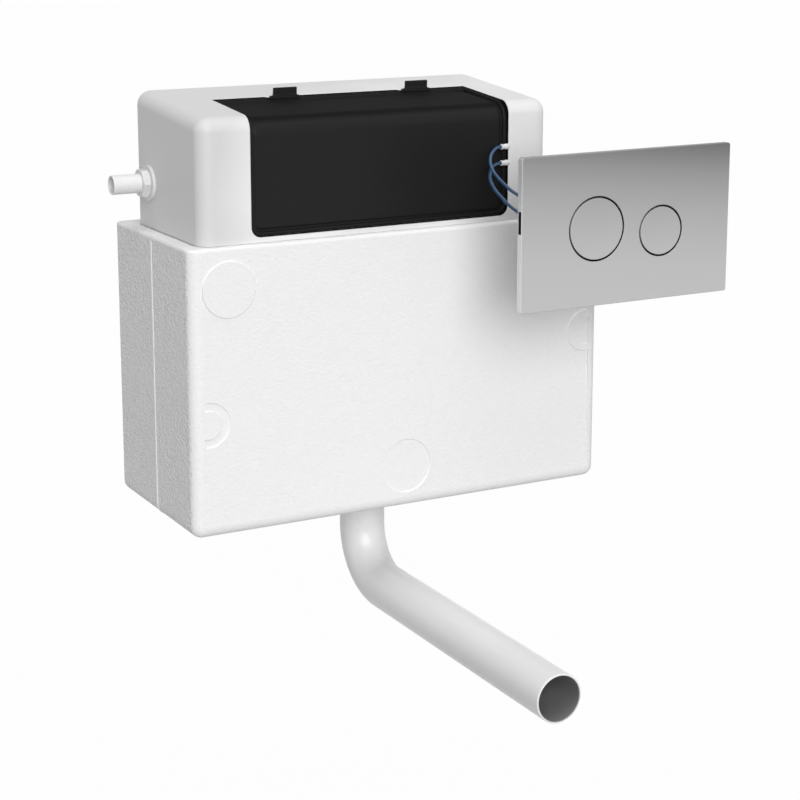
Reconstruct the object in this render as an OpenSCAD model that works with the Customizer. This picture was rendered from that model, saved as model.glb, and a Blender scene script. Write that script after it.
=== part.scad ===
// Concealed wall-hung toilet cistern in a two-part insulating jacket.
// A pneumatic dual-flush plate works the flush valve through two thin air tubes.
// X runs along the wall, -Y points away from the wall and +Z is up.
// Y = 0 is the wall plane and Z = 0 is the line of the two hanging screws.

/* [Jacket] */
// Width of the insulating jacket
jacket_w = 420; // [380:1:460]
// Depth of the jacket, from its front face to the wall
jacket_d = 176; // [170:1:190]
// Height of the jacket, from its underside to its open rim
jacket_h = 259; // [240:1:275]
// Thickness of the jacket's front wall
jacket_front_wall = 12; // [9:0.5:13]
// Thickness of the jacket's side walls
jacket_side_wall = 13; // [11:0.5:15]
// Thickness of the jacket's floor
jacket_floor = 13.5; // [12:0.5:16]
// Thickness of the jacket where it laps over the tank's right shoulder
jacket_lap = 13.5; // [8:0.5:16]
// Radius of the jacket's upright and bottom edges
jacket_corner_r = 10; // [8:0.5:11]
// Radius of the jacket's rim edge
jacket_rim_r = 5; // [3:0.5:5.5]
// Radius of the hole in the jacket's floor for the outlet
jacket_hole_r = 36; // [35:0.5:42]
// Width of the raised parting line of the moulding
flash_w = 1.6; // [1:0.1:2.5]
// Height of the parting line and of the steps of the ejector discs
flash_h = 0.6; // [0.4:0.1:1]
// Radius of the two large ejector discs
disc_r = 25; // [20:0.5:26]
// Outer radius of the two small ejector rings
ring_r = 20; // [16:0.5:21]

/* [Tank] */
// Height of the tank's top edge at the wall side, above the jacket's underside
tank_h = 382.5; // [375:0.5:395]
// Fall of the tank's top towards the front, in degrees
top_fall = 5; // [3:0.5:6]
// Distance from the flush valve's axis to the upper tank's right side
tank_right = 154; // [150:1:160]
// Distance from the jacket's front face back to the upper tank's front face
tank_front = 6; // [5:0.5:7]
// Distance from the wall to the tank's back face
stand_off = 18; // [16:0.5:22]
// Wall of the blow-moulded tank
tank_wall = 4; // [3:0.25:4.5]
// Radius of the tank's edges
tank_corner_r = 13; // [10:0.5:14]
// Distance between the two hanging screws
screw_spacing = 200; // [180:1:220]
// Radius of a hanging screw's hole
screw_hole_r = 3.5; // [3:0.25:4.5]
// Height of the screw line above the jacket's underside
hang_h = 330; // [325:1:335]
// Width of a hanging bracket
bracket_w = 32; // [28:1:40]
// Thickness of a hanging bracket's plate and webs
bracket_t = 4; // [3:0.5:5]

/* [Access cover] */
// Distance from the flush valve's axis to the cover pocket's left side
pocket_left = 148; // [144:1:152]
// Distance from the flush valve's axis to the cover pocket's right side
pocket_right = 111; // [108:1:114]
// Height of the cover pocket's bottom edge above the jacket's rim
pocket_rise = 5; // [4.5:0.5:8]
// Distance from the jacket's front face back to the cover pocket's rear edge
pocket_rear = 90; // [84:1:94]
// Radius of the cover pocket's lower corners
pocket_corner_r = 9; // [6:0.5:9]
// How far the cover lies below the tank's front face
front_recess = 3; // [2:0.25:4]
// How far the cover lies below the tank's top
top_recess = 1; // [0.5:0.25:2]
// Radius of the cover's bend from front to top
bend_r = 18; // [14:0.5:22]
// Width of the cover's raised bead
bead_w = 7; // [5:0.5:9]
// Drop from the bead to the cover's panel
panel_drop = 2.5; // [1.5:0.25:3]
// Thickness of the cover's panel
panel_t = 2.2; // [1.8:0.1:3]
// Width of the groove inside the bead
groove_w = 1.5; // [1:0.1:2]
// Depth of the groove inside the bead
groove_d = 1; // [0.5:0.1:1.2]
// Width of the ledge under the cover's edge
ledge_w = 8; // [6:0.5:10]
// Width of a cover tab
tab_w = 23.5; // [18:0.5:28]
// Height of a cover tab
tab_h = 10; // [7:0.5:12]
// Width of the flange at a tab's foot
tab_foot_w = 30; // [29:0.5:36]
// Position of the left tab, from the flush valve's axis
tab_left_x = -80; // [-90:1:-70]
// Position of the right tab, from the flush valve's axis
tab_right_x = 55; // [45:1:65]

/* [Inlet] */
// Height of the inlet's axis above the jacket's rim
inlet_rise = 42; // [38:1:44]
// Distance from the jacket's front face back to the inlet's axis
inlet_back = 122; // [118:1:124]
// Outer radius of the threaded inlet tail
tail_r = 8.8; // [8:0.1:10]
// Wall of the inlet tail
tail_wall = 1.8; // [1.2:0.1:2.5]
// Length of the inlet tail outside the tank
tail_len = 36.5; // [30:0.5:45]
// Width across flats of the inlet's backnut
inlet_nut_af = 23.4; // [22:0.2:26]
// Thickness of the inlet's backnut
inlet_nut_t = 11.3; // [8:0.1:14]
// Outer radius of the inlet's flange washer
inlet_washer_r = 16.3; // [15:0.1:18]
// Thickness of the inlet's flange washer
inlet_washer_t = 3.2; // [2:0.1:4]

/* [Fill valve] */
// Radius of the fill valve's horizontal barrel
barrel_r = 11; // [10.2:0.2:12]
// Distance from the tank's left wall to the fill valve's chamber
chamber_reach = 52.5; // [50:0.5:56]
// Radius of the fill valve's chamber
chamber_r = 14; // [13:0.5:15]
// Side of the float
float_w = 50; // [44:1:50]
// Height of the float
float_h = 47; // [35:1:52]
// Travel of the float between full and empty
float_travel = 15; // [10:1:16]
// Length of the float lever between its pin and its roller
lever_len = 40; // [38:1:42]
// Radius of the float's guide rod
guide_r = 5; // [4:0.5:6]

/* [Flush valve] */
// Outer radius of the valve's tail below the tank
valve_tail_r = 25; // [24.4:0.2:26]
// Radius of the waterway through the valve
waterway_r = 19; // [17:0.5:20]
// Radius of the valve's seat flange
seat_flange_r = 38; // [37:0.5:40]
// Length of the valve's tail below the jacket's underside
tail_drop = 12; // [10:0.5:14]
// Outer radius of the valve's cage
cage_r = 36; // [34.5:0.5:37]
// Height of the cage
cage_h = 86; // [80:1:95]
// Outer radius of the valve's tower
tower_r = 22; // [20:0.5:23]
// Height of the valve's tower above the cage
tower_h = 140; // [120:1:145]
// Outer radius of the overflow tube
overflow_r = 15.6; // [14:0.2:15.8]
// Wall of the overflow tube
overflow_wall = 2.5; // [2:0.25:4]
// Lift of the flush spindle
spindle_lift = 30; // [20:1:32]
// Outer radius of the seal on the overflow tube
seal_r = 28; // [26:0.5:30]
// Outer radius of the air cylinders
cylinder_r = 13; // [12:0.5:14]
// Distance from the valve's axis to an air cylinder's axis
cylinder_reach = 41; // [39:0.5:44]
// Lift of the half-flush piston
half_lift = 15; // [10:1:15]

/* [Flush pipe] */
// Outer radius of the flush pipe
pipe_r = 21.5; // [20:0.25:21.75]
// Wall of the flush pipe
pipe_wall = 2; // [1.5:0.25:3]
// Radius of the flush pipe's bend, along its centre line
pipe_bend_r = 50; // [44:1:56]
// Depth of the flush pipe's centre line below the jacket's underside
pipe_drop = 89.8; // [86:0.2:100]
// How far the flush pipe's end reaches in front of the jacket
pipe_reach = 264; // [240:1:280]
// Outer radius of the coupling nut under the cistern
coupling_r = 31; // [30:0.5:33]

/* [Flush plate] */
// Width of the flush plate
plate_w = 222; // [215:1:230]
// Height of the flush plate
plate_h = 137; // [130:1:145]
// Depth of the flush plate's edge
plate_t = 7; // [6:0.5:10]
// Thickness of the flush plate's front skin
plate_skin = 3; // [2:0.25:3.5]
// Distance from the flush valve's axis to the plate's left edge
plate_left = 54; // [50:1:56]
// Height of the plate's top edge above the jacket's underside
plate_top = 334.5; // [332:0.5:336]
// Distance from the jacket's front face forward to the plate's front face
plate_ahead = 110; // [108:1:112]
// Radius of the plate's corners
plate_corner_r = 2; // [1:0.5:5]
// Diameter of the full-flush button
full_button_d = 57.5; // [54:0.5:58]
// Distance from the plate's left edge to the full-flush button's centre
full_button_x = 78; // [76:0.5:80]
// Distance from the plate's top edge to the full-flush button's centre
full_button_y = 67.7; // [66:0.1:70]
// Diameter of the half-flush button
half_button_d = 46; // [42:0.5:48]
// Distance from the plate's left edge to the half-flush button's centre
half_button_x = 147; // [145:0.5:150]
// Distance from the plate's top edge to the half-flush button's centre
half_button_y = 74.8; // [73:0.1:77]
// Travel of a button
button_travel = 5; // [4:0.5:6]
// Depth of a pump housing behind the plate
pump_depth = 31; // [29:0.5:33]
// Distance between the plate frame's fixing holes
fixing_spacing = 190; // [180:1:200]
// Radius of a fixing hole
fixing_r = 2.2; // [1.8:0.1:2.6]

/* [Air tubes] */
// Outer radius of an air tube
tube_r = 2.2; // [1.8:0.1:2.4]
// Outer radius of an air spigot
spigot_r = 2.6; // [2.5:0.05:2.9]
// Length of an air spigot beside the cover pocket
spigot_len = 8; // [6:0.5:8]
// Height of the lower air spigot above the jacket's underside
spigot_h = 313; // [310:1:316]
// Distance between the two air spigots
spigot_pitch = 15; // [12:0.5:18]

/* [Clearances] */
// Gap between the tank and the jacket
jacket_gap = 0.5; // [0.4:0.1:1]
// Gap round the edge of the access cover
cover_gap = 0.7; // [0.5:0.1:1]
// Gap between a loose piece and its seat
seat_gap = 0.3; // [0.3:0.05:0.4]
// Gap round a sliding or lifting piece
slide_gap = 0.4; // [0.35:0.05:0.6]
// Radial gap of a running or threaded fit
fit_gap = 0.05; // [0.02:0.01:0.09]

/* [Hidden] */
$fn = 64;

// Jacket and tank: shared faces
jacket_x = jacket_w / 2;
parting = jacket_d / 2;
cavity_x = jacket_x - jacket_side_wall;
cavity_back = jacket_d - stand_off + jacket_gap;
cavity_top = jacket_h - jacket_lap;
tank_left = cavity_x - jacket_gap;
tank_back = jacket_d - stand_off;
low_front = jacket_front_wall + jacket_gap;
low_bottom = jacket_floor + jacket_gap;
low_top = cavity_top - jacket_gap;
fall = tan(top_fall);
lean = sqrt(1 + fall * fall);
floor_top = low_bottom + tank_wall;

// Cover: depths below the bead plane
pocket_bottom = jacket_h + pocket_rise;
pocket_depth = panel_drop + panel_t + seat_gap;
bead_plane = tank_front + front_recess;
cover_x0 = -pocket_left + cover_gap;
cover_x1 = pocket_right - cover_gap;
cover_z0 = pocket_bottom + cover_gap;
cover_y1 = pocket_rear - cover_gap;
bend_y = bead_plane + bend_r;
bend_z = tank_top(bend_y) - (top_recess + bend_r) * lean;
tongue = 5;
tab_t = 2.2;
tab_foot_d = 4.5;
tab_foot_h = 2.6;
tab_y = cover_y1 - tongue - cover_gap;

// Inlet and fill valve
inlet_h = jacket_h + inlet_rise;
tank_in_left = -tank_left + tank_wall;
nut_x1 = -tank_left - inlet_washer_t;
nut_x0 = nut_x1 - inlet_nut_t;
shank_r = tail_r - 0.3;
seal_t = 2;
collar_t = 3;
barrel_x0 = tank_in_left + seal_t + collar_t;
chamber_x = tank_in_left + chamber_reach;
chamber_z0 = inlet_h - 16;
chamber_z1 = inlet_h + 17;
cap_z1 = chamber_z1 + 8;
float_top = inlet_h - 39;
float_bottom = float_top - float_h;
guide_bottom = float_bottom - 8;
pin_r = 2;
pivot_x = chamber_x - 21;
pivot_z = inlet_h + 4;
lever_y = inlet_back + 17;
lever_t = 3;
roller_r = 3;
post_w = 4;

// Flush valve
gasket_t = 2;
flange_t = 4;
flange_z = floor_top + gasket_t;
cage_z = flange_z + flange_t;
seat_z = cage_z + 10;
cage_top = cage_z + cage_h;
tower_top = cage_top + tower_h;
socket_r = pipe_r + slide_gap;
socket_z = 4;
pipe_top = socket_z - 2;
bracket_z = tower_top - 25;
cylinder_z = bracket_z - 25;
cylinder_in = cylinder_r - 2.7;
piston_r = cylinder_in - slide_gap;
piston_z = cylinder_z + 3 + slide_gap;
piston_h = 10;
rod_r = 4;
full_cap_z = piston_z + piston_h + spindle_lift + 2;
half_cap_z = piston_z + piston_h + half_lift + 2;
bar_z = max(full_cap_z + 3, tower_top) + 7;
bar_h = 6;
nut_bottom = -tail_drop - 14;
cone_top = -tail_drop;

// Flush plate and pumps
plate_x0 = plate_left;
plate_x1 = plate_left + plate_w;
plate_z1 = plate_top;
plate_z0 = plate_top - plate_h;
plate_y0 = -plate_ahead;
plate_y1 = plate_y0 + plate_t;
full_x = plate_left + full_button_x;
full_z = plate_top - full_button_y;
half_x = plate_left + half_button_x;
half_z = plate_top - half_button_y;
button_t = 4;
stem_r = 10;
frame_t = 4;
frame_y1 = plate_y1 + frame_t;
pump_y1 = frame_y1 + pump_depth;
pump_wall = 2.7;
plunger_y0 = plate_y0 + button_t + 5;
plunger_h = 8;
plunger_y1 = plunger_y0 + plunger_h;
nozzle_r = 2.6;
full_nozzle = [98, -86, 270];
half_nozzle_y = -60;

// Air tubes: chosen points along each centre line, in the jacket's own frame
spigot_y = bead_plane - seat_gap - spigot_r;
spigot_x = pocket_right - spigot_len;
elbow_x = pocket_right + 3;
spigot_in = tank_front + 18;
full_route = [
    [spigot_x, spigot_y, spigot_h], [98, 4.8, 312.8], [92, 1, 312],
    [85.5, -5, 309.8], [81, -11, 306], [77.8, -17, 302], [75.8, -25, 297.6],
    [74.4, -34, 293.6], [74, -43, 290], [73.4, -52, 286.6], [73, -61, 284],
    [72.8, -69, 282], [74, -76, 279.5], [78.5, -82, 276], [85, -85, 272.5],
    [91.5, -86, 270.5], full_nozzle];
half_route = [
    [spigot_x, spigot_y, spigot_h + spigot_pitch], [98, 5, 327.7],
    [92.5, 1.6, 326], [87, -2.6, 322.4], [83.6, -7, 318], [81.4, -12, 314],
    [80, -19, 309.4], [79.2, -28, 305.4], [78.6, -38, 301.8],
    [78, -48, 298.8], [78.4, -56, 296.2], [82, -61, 293.2], [90, -62, 289.6],
    [101, -59.5, 286], [113, -56, 282.4], [126, -53, 278.6],
    [139, -50.5, 275], [152, -48.4, 271.4], [165, -46.6, 268],
    [177, -45.4, 265], [187, -45.6, 262.4], [194, -47.4, 260.8],
    [199, -51.6, 260], [half_x, -56, half_z], [half_x, half_nozzle_y, half_z]];

// Height of the tank's top above the jacket's underside, at a depth
function tank_top(y) = tank_h - fall * (tank_back - y);

// Unit vector, frames carried along a route and a ring of points round it
function unit(v) = v / norm(v);
function heads(p) = [for (i = [0 : len(p) - 1])
    unit(p[min(i + 1, len(p) - 1)] - p[max(i - 1, 0)])];
function carried(t, i, n) = i >= len(t) ? [] :
    let (m = unit(n - (n * t[i]) * t[i])) concat([m], carried(t, i + 1, m));
function ring(c, t, n, r, sides) = [for (k = [0 : sides - 1])
    c + r * (cos(360 * k / sides) * n + sin(360 * k / sides) * cross(t, n))];

// Round tube swept along a route as one closed surface
module swept(route, first, last, r, sides) {
    ends = heads(route);
    t = [for (i = [0 : len(ends) - 1])
        i == 0 ? first : i == len(ends) - 1 ? last : ends[i]];
    n = carried(t, 0, [0, 0, 1]);
    count = len(route);
    points = [for (i = [0 : count - 1]) each ring(route[i], t[i], n[i], r, sides)];
    sides_faces = [for (i = [0 : count - 2]) for (k = [0 : sides - 1])
        let (a = i * sides + k, b = i * sides + (k + 1) % sides)
        each [[a, b + sides, b], [a, a + sides, b + sides]]];
    start = [[for (k = [0 : sides - 1]) k]];
    finish = [[for (k = [0 : sides - 1]) count * sides - 1 - k]];
    polyhedron(points = points, faces = concat(sides_faces, start, finish), convexity = 6);
}

// Everything is drawn from the jacket's lower front edge and then placed
module placed() {
    translate([0, -jacket_d, -hang_h])
        children();
}

module block(a, b) {
    translate(a)
        cube(b - a);
}

module rod_x(x0, x1, y, z, r) {
    translate([x0, y, z])
        rotate([0, 90, 0])
            cylinder(h = x1 - x0, r = r);
}

module rod_y(x, y0, y1, z, r) {
    translate([x, y1, z])
        rotate([90, 0, 0])
            cylinder(h = y1 - y0, r = r);
}

module rod_z(x, y, z0, z1, r) {
    translate([x, y, z0])
        cylinder(h = z1 - z0, r = r);
}

module rounded(x0, x1, y0, y1, r) {
    union() {
        translate([x0 + r, y0])
            square([x1 - x0 - 2 * r, y1 - y0]);
        translate([x0, y0 + r])
            square([x1 - x0, y1 - y0 - 2 * r]);
        for (x = [x0 + r, x1 - r])
            for (y = [y0 + r, y1 - r])
                translate([x, y])
                    circle(r = r);
    }
}

// Upright block with rounded upright edges
module pillar(x0, x1, y0, y1, z0, z1, r) {
    translate([0, 0, z0])
        linear_extrude(height = z1 - z0)
            rounded(x0, x1, y0, y1, r);
}

// Plate in the XZ plane with rounded corners
module panel(x0, x1, y0, y1, z0, z1, r) {
    translate([0, y1, 0])
        rotate([90, 0, 0])
            linear_extrude(height = y1 - y0)
                rounded(x0, x1, z0, z1, r);
}

// Outer form of the jacket, as one block
module jacket_block() {
    hull() {
        for (x = [-jacket_x + jacket_corner_r, jacket_x - jacket_corner_r])
            for (y = [jacket_corner_r, jacket_d - jacket_corner_r]) {
                translate([x, y, jacket_corner_r])
                    sphere(r = jacket_corner_r, $fn = 32);
                translate([x, y, jacket_h - jacket_rim_r])
                    rotate_extrude($fn = 32)
                        translate([jacket_corner_r - jacket_rim_r, 0])
                            circle(r = jacket_rim_r, $fn = 32);
            }
    }
}

// Raised parting line round the jacket's sides and underside
module parting_line() {
    difference() {
        panel(-jacket_x - flash_h, jacket_x + flash_h, parting - flash_w / 2,
            parting + flash_w / 2, -flash_h, jacket_h + 20, jacket_corner_r + flash_h);
        panel(-jacket_x + 2, jacket_x - 2, 0, jacket_d, 2, jacket_h + 40, jacket_corner_r);
        block([-jacket_w, 0, jacket_h - jacket_corner_r], [jacket_w, jacket_d, jacket_h + 60]);
    }
}

// Space in the jacket for the lower tank, its neck and the outlet
module jacket_cavity() {
    pillar(-cavity_x, cavity_x, jacket_front_wall, cavity_back, jacket_floor,
        cavity_top, tank_corner_r);
    pillar(-cavity_x, tank_right + jacket_gap, jacket_front_wall, cavity_back,
        cavity_top - 20, jacket_h + 20, tank_corner_r);
    rod_z(0, parting, -5, jacket_floor + 5, jacket_hole_r);
}

// Disc or ring that an ejector leaves on the front face, from y0 to y1
module ejector_mark(x, z, r, inner_r, y0, y1) {
    intersection() {
        difference() {
            rod_y(x, y0, y1, z, r);
            if (inner_r > 0)
                rod_y(x, y0 - 1, y1 + 1, z, inner_r);
        }
        block([-jacket_x + jacket_corner_r, y0, 0],
            [jacket_x - jacket_corner_r, y1, jacket_h]);
    }
}

module jacket_front() {
    color("whitesmoke") placed() {
        difference() {
            union() {
                intersection() {
                    union() {
                        jacket_block();
                        parting_line();
                    }
                    block([-jacket_w, -1, -20], [jacket_w, parting, jacket_h + 1]);
                }
                ejector_mark(-173.5, 222, disc_r, 0, -flash_h, 1);
                ejector_mark(194.5, 147, ring_r, ring_r - 7, -flash_h, 1);
            }
            jacket_cavity();
            ejector_mark(1, 39.5, disc_r, 0, -1, flash_h);
            ejector_mark(-194.5, 103, ring_r, ring_r - 7, -1, flash_h);
        }
    }
}

module jacket_back() {
    color("whitesmoke") placed() {
        difference() {
            intersection() {
                union() {
                    jacket_block();
                    parting_line();
                }
                block([-jacket_w, parting, -20], [jacket_w, jacket_d + 1, jacket_h + 1]);
            }
            jacket_cavity();
        }
    }
}

// Upper tank as one rounded block, drawn in by a wall
module upper_block(inset, z0) {
    r = tank_corner_r - inset;
    hull() {
        for (x = [-tank_left + tank_corner_r, tank_right - tank_corner_r])
            for (y = [tank_front + tank_corner_r, tank_back - tank_corner_r]) {
                top = tank_top(y) - tank_corner_r * lean;
                translate([x, y, z0])
                    cylinder(h = top - z0, r = r, $fn = 32);
                translate([x, y, top])
                    sphere(r = r, $fn = 32);
            }
    }
}

// Region below the cover's face at a depth, as a profile across the tank
module below(depth) {
    r = bend_r - depth;
    rear = 160;
    top = tank_top(rear) - (top_recess + depth) * lean;
    bend = [for (k = [0 : 20]) let (a = 180 - k * (90 - top_fall) / 20)
        [bend_y + r * cos(a), bend_z + r * sin(a)]];
    polygon(concat([[bend_y - r, 200]], bend, [[rear, top], [rear, 200]]));
}

module across(x0, x1) {
    translate([x0, 0, 0])
        rotate([90, 0, 90])
            linear_extrude(height = x1 - x0)
                children();
}

// Air spigot: a barrel beside the pocket, an elbow and a stub into the tank
module spigot_form(z) {
    rod_x(spigot_x, elbow_x, spigot_y, z, spigot_r);
    translate([elbow_x, spigot_y, z])
        sphere(r = spigot_r);
    rod_y(elbow_x, spigot_y, spigot_in, z, spigot_r);
}

// Tongue of the tank beside and behind a cover tab
module tongue_form(x, grow) {
    y0 = pocket_rear - tongue - grow;
    half = tab_w / 2 + 1 + grow;
    intersection() {
        translate([x, 0, 300])
            linear_extrude(height = 100)
                polygon([[-half - 6, pocket_rear + 2], [-half, y0],
                    [half, y0], [half, pocket_rear + 2]]);
        across(-pocket_left, pocket_right)
            below(-top_recess);
    }
}

// Stand-off bracket that hangs on a wall screw
module hanging_bracket(x) {
    z0 = hang_h - 20;
    z1 = hang_h + 14;
    difference() {
        block([x - bracket_w / 2, tank_back - 1, z0], [x + bracket_w / 2, jacket_d, z1]);
        block([x - bracket_w / 2 + bracket_t, tank_back, z0 + bracket_t],
            [x + bracket_w / 2 - bracket_t, jacket_d - bracket_t, z1 + 1]);
        rod_y(x, tank_back + 1, jacket_d + 1, hang_h, screw_hole_r);
    }
}

module tank() {
    color("white") placed() {
        difference() {
            union() {
                difference() {
                    union() {
                        upper_block(0, jacket_h);
                        pillar(-tank_left, tank_right, low_front, tank_back,
                            low_top - 1, jacket_h + 0.5, tank_corner_r);
                        pillar(-tank_left, tank_left, low_front, tank_back,
                            low_bottom, low_top, tank_corner_r);
                    }
                    upper_block(tank_wall, jacket_h + tank_wall);
                    pillar(-tank_left + tank_wall, tank_right - tank_wall,
                        low_front + tank_wall, tank_back - tank_wall,
                        low_top - tank_wall - 1, jacket_h + tank_wall + 0.5,
                        tank_corner_r - tank_wall);
                    pillar(-tank_left + tank_wall, tank_left - tank_wall,
                        low_front + tank_wall, tank_back - tank_wall, floor_top,
                        low_top - tank_wall, tank_corner_r - tank_wall);
                }
                difference() {
                    intersection() {
                        upper_block(0, jacket_h);
                        block([-pocket_left - tank_wall, 0, pocket_bottom - tank_wall],
                            [pocket_right + tank_wall, pocket_rear + tank_wall, 400]);
                    }
                    across(-pocket_left - tank_wall - 1, pocket_right + tank_wall + 1)
                        below(pocket_depth + tank_wall);
                }
                for (x = [-screw_spacing / 2, screw_spacing / 2])
                    hanging_bracket(x);
            }
            difference() {
                panel(-pocket_left, pocket_right, 0, pocket_rear, pocket_bottom, 450,
                    pocket_corner_r);
                across(-pocket_left - 1, pocket_right + 1)
                    below(pocket_depth);
                tongue_form(tab_left_x, 0);
                tongue_form(tab_right_x, 0);
            }
            panel(-pocket_left + ledge_w, pocket_right - ledge_w, 0, pocket_rear - ledge_w,
                pocket_bottom + ledge_w, 450, 3);
            rod_x(-tank_left - 1, tank_in_left + 1, inlet_back, inlet_h, tail_r + fit_gap);
            rod_z(0, parting, low_bottom - 1, floor_top + 1, valve_tail_r + fit_gap);
            spigot_form(spigot_h);
            spigot_form(spigot_h + spigot_pitch);
        }
    }
}

module access_cover() {
    color("#26282b") placed() {
        difference() {
            intersection() {
                across(cover_x0, cover_x1)
                    below(0);
                panel(cover_x0, cover_x1, 0, cover_y1, cover_z0, 450,
                    pocket_corner_r - cover_gap);
            }
            across(cover_x0 - 1, cover_x1 + 1)
                below(panel_drop + panel_t);
            difference() {
                panel(cover_x0 + bead_w, cover_x1 - bead_w, 0, cover_y1 - bead_w,
                    cover_z0 + bead_w, 450, 4);
                across(cover_x0, cover_x1)
                    below(panel_drop);
            }
            difference() {
                panel(cover_x0 + bead_w, cover_x1 - bead_w, 0, cover_y1 - bead_w,
                    cover_z0 + bead_w, 450, 4);
                panel(cover_x0 + bead_w + groove_w, cover_x1 - bead_w - groove_w, -1,
                    cover_y1 - bead_w - groove_w, cover_z0 + bead_w + groove_w, 450, 3);
                across(cover_x0, cover_x1)
                    below(panel_drop + groove_d);
            }
            tongue_form(tab_left_x, cover_gap);
            tongue_form(tab_right_x, cover_gap);
        }
    }
}

// Upright tab on a flanged foot, standing on the cover's bead
module cover_tab(x) {
    translate([x, tab_y, tank_top(tab_y) - top_recess * lean])
        rotate([top_fall, 0, 0]) {
            block([-tab_foot_w / 2, -tab_foot_d, 0], [tab_foot_w / 2, 0, tab_foot_h]);
            block([-tab_w / 2, -tab_t - 0.6, 0], [tab_w / 2, -0.6, tab_h]);
        }
}

module left_cover_tab() {
    color("#202224") placed()
        cover_tab(tab_left_x);
}

module right_cover_tab() {
    color("#202224") placed()
        cover_tab(tab_right_x);
}

module inlet_shank() {
    x0 = -tank_left - tail_len;
    color("whitesmoke") placed() {
        difference() {
            union() {
                rod_x(x0, nut_x0, inlet_back, inlet_h, tail_r);
                rod_x(nut_x0, tank_in_left + seal_t, inlet_back, inlet_h, shank_r);
                rod_x(tank_in_left + seal_t, barrel_x0, inlet_back, inlet_h, 13);
            }
            rod_x(x0 - 1, barrel_x0 + 1, inlet_back, inlet_h, tail_r - tail_wall);
        }
    }
}

module inlet_backnut() {
    color("lightgray") placed() {
        difference() {
            translate([nut_x0, inlet_back, inlet_h])
                rotate([0, 90, 0])
                    cylinder(h = inlet_nut_t, r = inlet_nut_af / sqrt(3), $fn = 6);
            rod_x(nut_x0 - 1, nut_x1 + 1, inlet_back, inlet_h, shank_r + fit_gap);
        }
    }
}

module inlet_flange_washer() {
    color("lightgray") placed() {
        difference() {
            rod_x(nut_x1, -tank_left, inlet_back, inlet_h, inlet_washer_r);
            rod_x(nut_x1 - 1, -tank_left + 1, inlet_back, inlet_h, tail_r + fit_gap);
        }
    }
}

module inlet_seal() {
    color("dimgray") placed() {
        difference() {
            rod_x(tank_in_left, tank_in_left + seal_t, inlet_back, inlet_h, 14);
            rod_x(tank_in_left - 1, tank_in_left + seal_t + 1, inlet_back, inlet_h,
                tail_r + fit_gap);
        }
    }
}

module fill_valve_body() {
    color("white") placed() {
        difference() {
            union() {
                rod_x(barrel_x0, chamber_x, inlet_back, inlet_h, barrel_r);
                rod_z(chamber_x, inlet_back, chamber_z0, chamber_z1, chamber_r);
                rod_z(chamber_x, inlet_back, guide_bottom, chamber_z0 + 1, guide_r);
                block([pivot_x - 6, inlet_back, inlet_h - 4],
                    [pivot_x + 6, lever_y - slide_gap - lever_t / 2, pivot_z + 6]);
            }
            rod_x(barrel_x0 - 1, chamber_x, inlet_back, inlet_h, tail_r - tail_wall);
            rod_z(chamber_x, inlet_back, chamber_z0 + 3, chamber_z1 + 1, chamber_r - 3);
            rod_y(pivot_x, inlet_back + 11.5, lever_y + 10, pivot_z, pin_r);
        }
    }
}

module fill_valve_cap() {
    color("royalblue") placed() {
        rod_z(chamber_x, inlet_back, chamber_z1, cap_z1, chamber_r + 1);
        rod_z(chamber_x, inlet_back, chamber_z1 - 4, chamber_z1, chamber_r - 3 - fit_gap);
        for (a = [0 : 30 : 330])
            translate([chamber_x, inlet_back, chamber_z1])
                rotate([0, 0, a])
                    translate([chamber_r + 1, 0, 0])
                        cylinder(h = cap_z1 - chamber_z1, r = 1, $fn = 24);
    }
}

module lever_pin() {
    y1 = lever_y + lever_t / 2 + slide_gap;
    color("silver") placed() {
        rod_y(pivot_x, inlet_back + 11.5, y1, pivot_z, pin_r);
        rod_y(pivot_x, y1, y1 + 1.5, pivot_z, pin_r + 1.6);
    }
}

// Lever lies level when the float is down, and the float's post lifts its roller
module float_lever() {
    y0 = lever_y - lever_t / 2;
    y1 = lever_y + lever_t / 2;
    color("white") placed() {
        difference() {
            union() {
                rod_y(pivot_x, y0, y1, pivot_z, pin_r + 2.4);
                block([pivot_x, y0, pivot_z - 2], [pivot_x + lever_len, y1, pivot_z + 2]);
                rod_y(pivot_x + lever_len, y0, y1, pivot_z, roller_r);
            }
            rod_y(pivot_x, y0 - 1, y1 + 1, pivot_z, pin_r + fit_gap);
        }
    }
}

module fill_float() {
    post_x = pivot_x + lever_len;
    color("lightsteelblue") placed() {
        difference() {
            union() {
                pillar(chamber_x - float_w / 2, chamber_x + float_w / 2,
                    inlet_back + 26 - float_w, inlet_back + 26, float_bottom, float_top, 8);
                pillar(post_x - post_w / 2, post_x + post_w / 2, lever_y - post_w / 2,
                    lever_y + post_w / 2, float_top - 1,
                    pivot_z - roller_r - seat_gap - 0.2, 1);
            }
            rod_z(chamber_x, inlet_back, float_bottom - 1, float_top + 1,
                guide_r + slide_gap);
            pillar(chamber_x - float_w / 2 + 2, chamber_x + float_w / 2 - 2,
                inlet_back + 28 - float_w, inlet_back - guide_r - 4, float_bottom - 1,
                float_top - 2, 6);
        }
    }
}

module outlet_gasket() {
    color("dimgray") placed() {
        difference() {
            rod_z(0, parting, floor_top, flange_z, seat_flange_r - 2);
            rod_z(0, parting, floor_top - 1, flange_z + 1, valve_tail_r + fit_gap);
        }
    }
}

module flush_valve_base() {
    color("whitesmoke") placed() {
        translate([0, parting, 0])
            rotate_extrude()
                polygon([[waterway_r, socket_z], [waterway_r, seat_z],
                    [waterway_r + 4, seat_z], [waterway_r + 6, cage_z],
                    [seat_flange_r, cage_z], [seat_flange_r, flange_z],
                    [valve_tail_r, flange_z], [valve_tail_r, -tail_drop],
                    [socket_r, -tail_drop], [socket_r, socket_z]]);
    }
}

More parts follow.
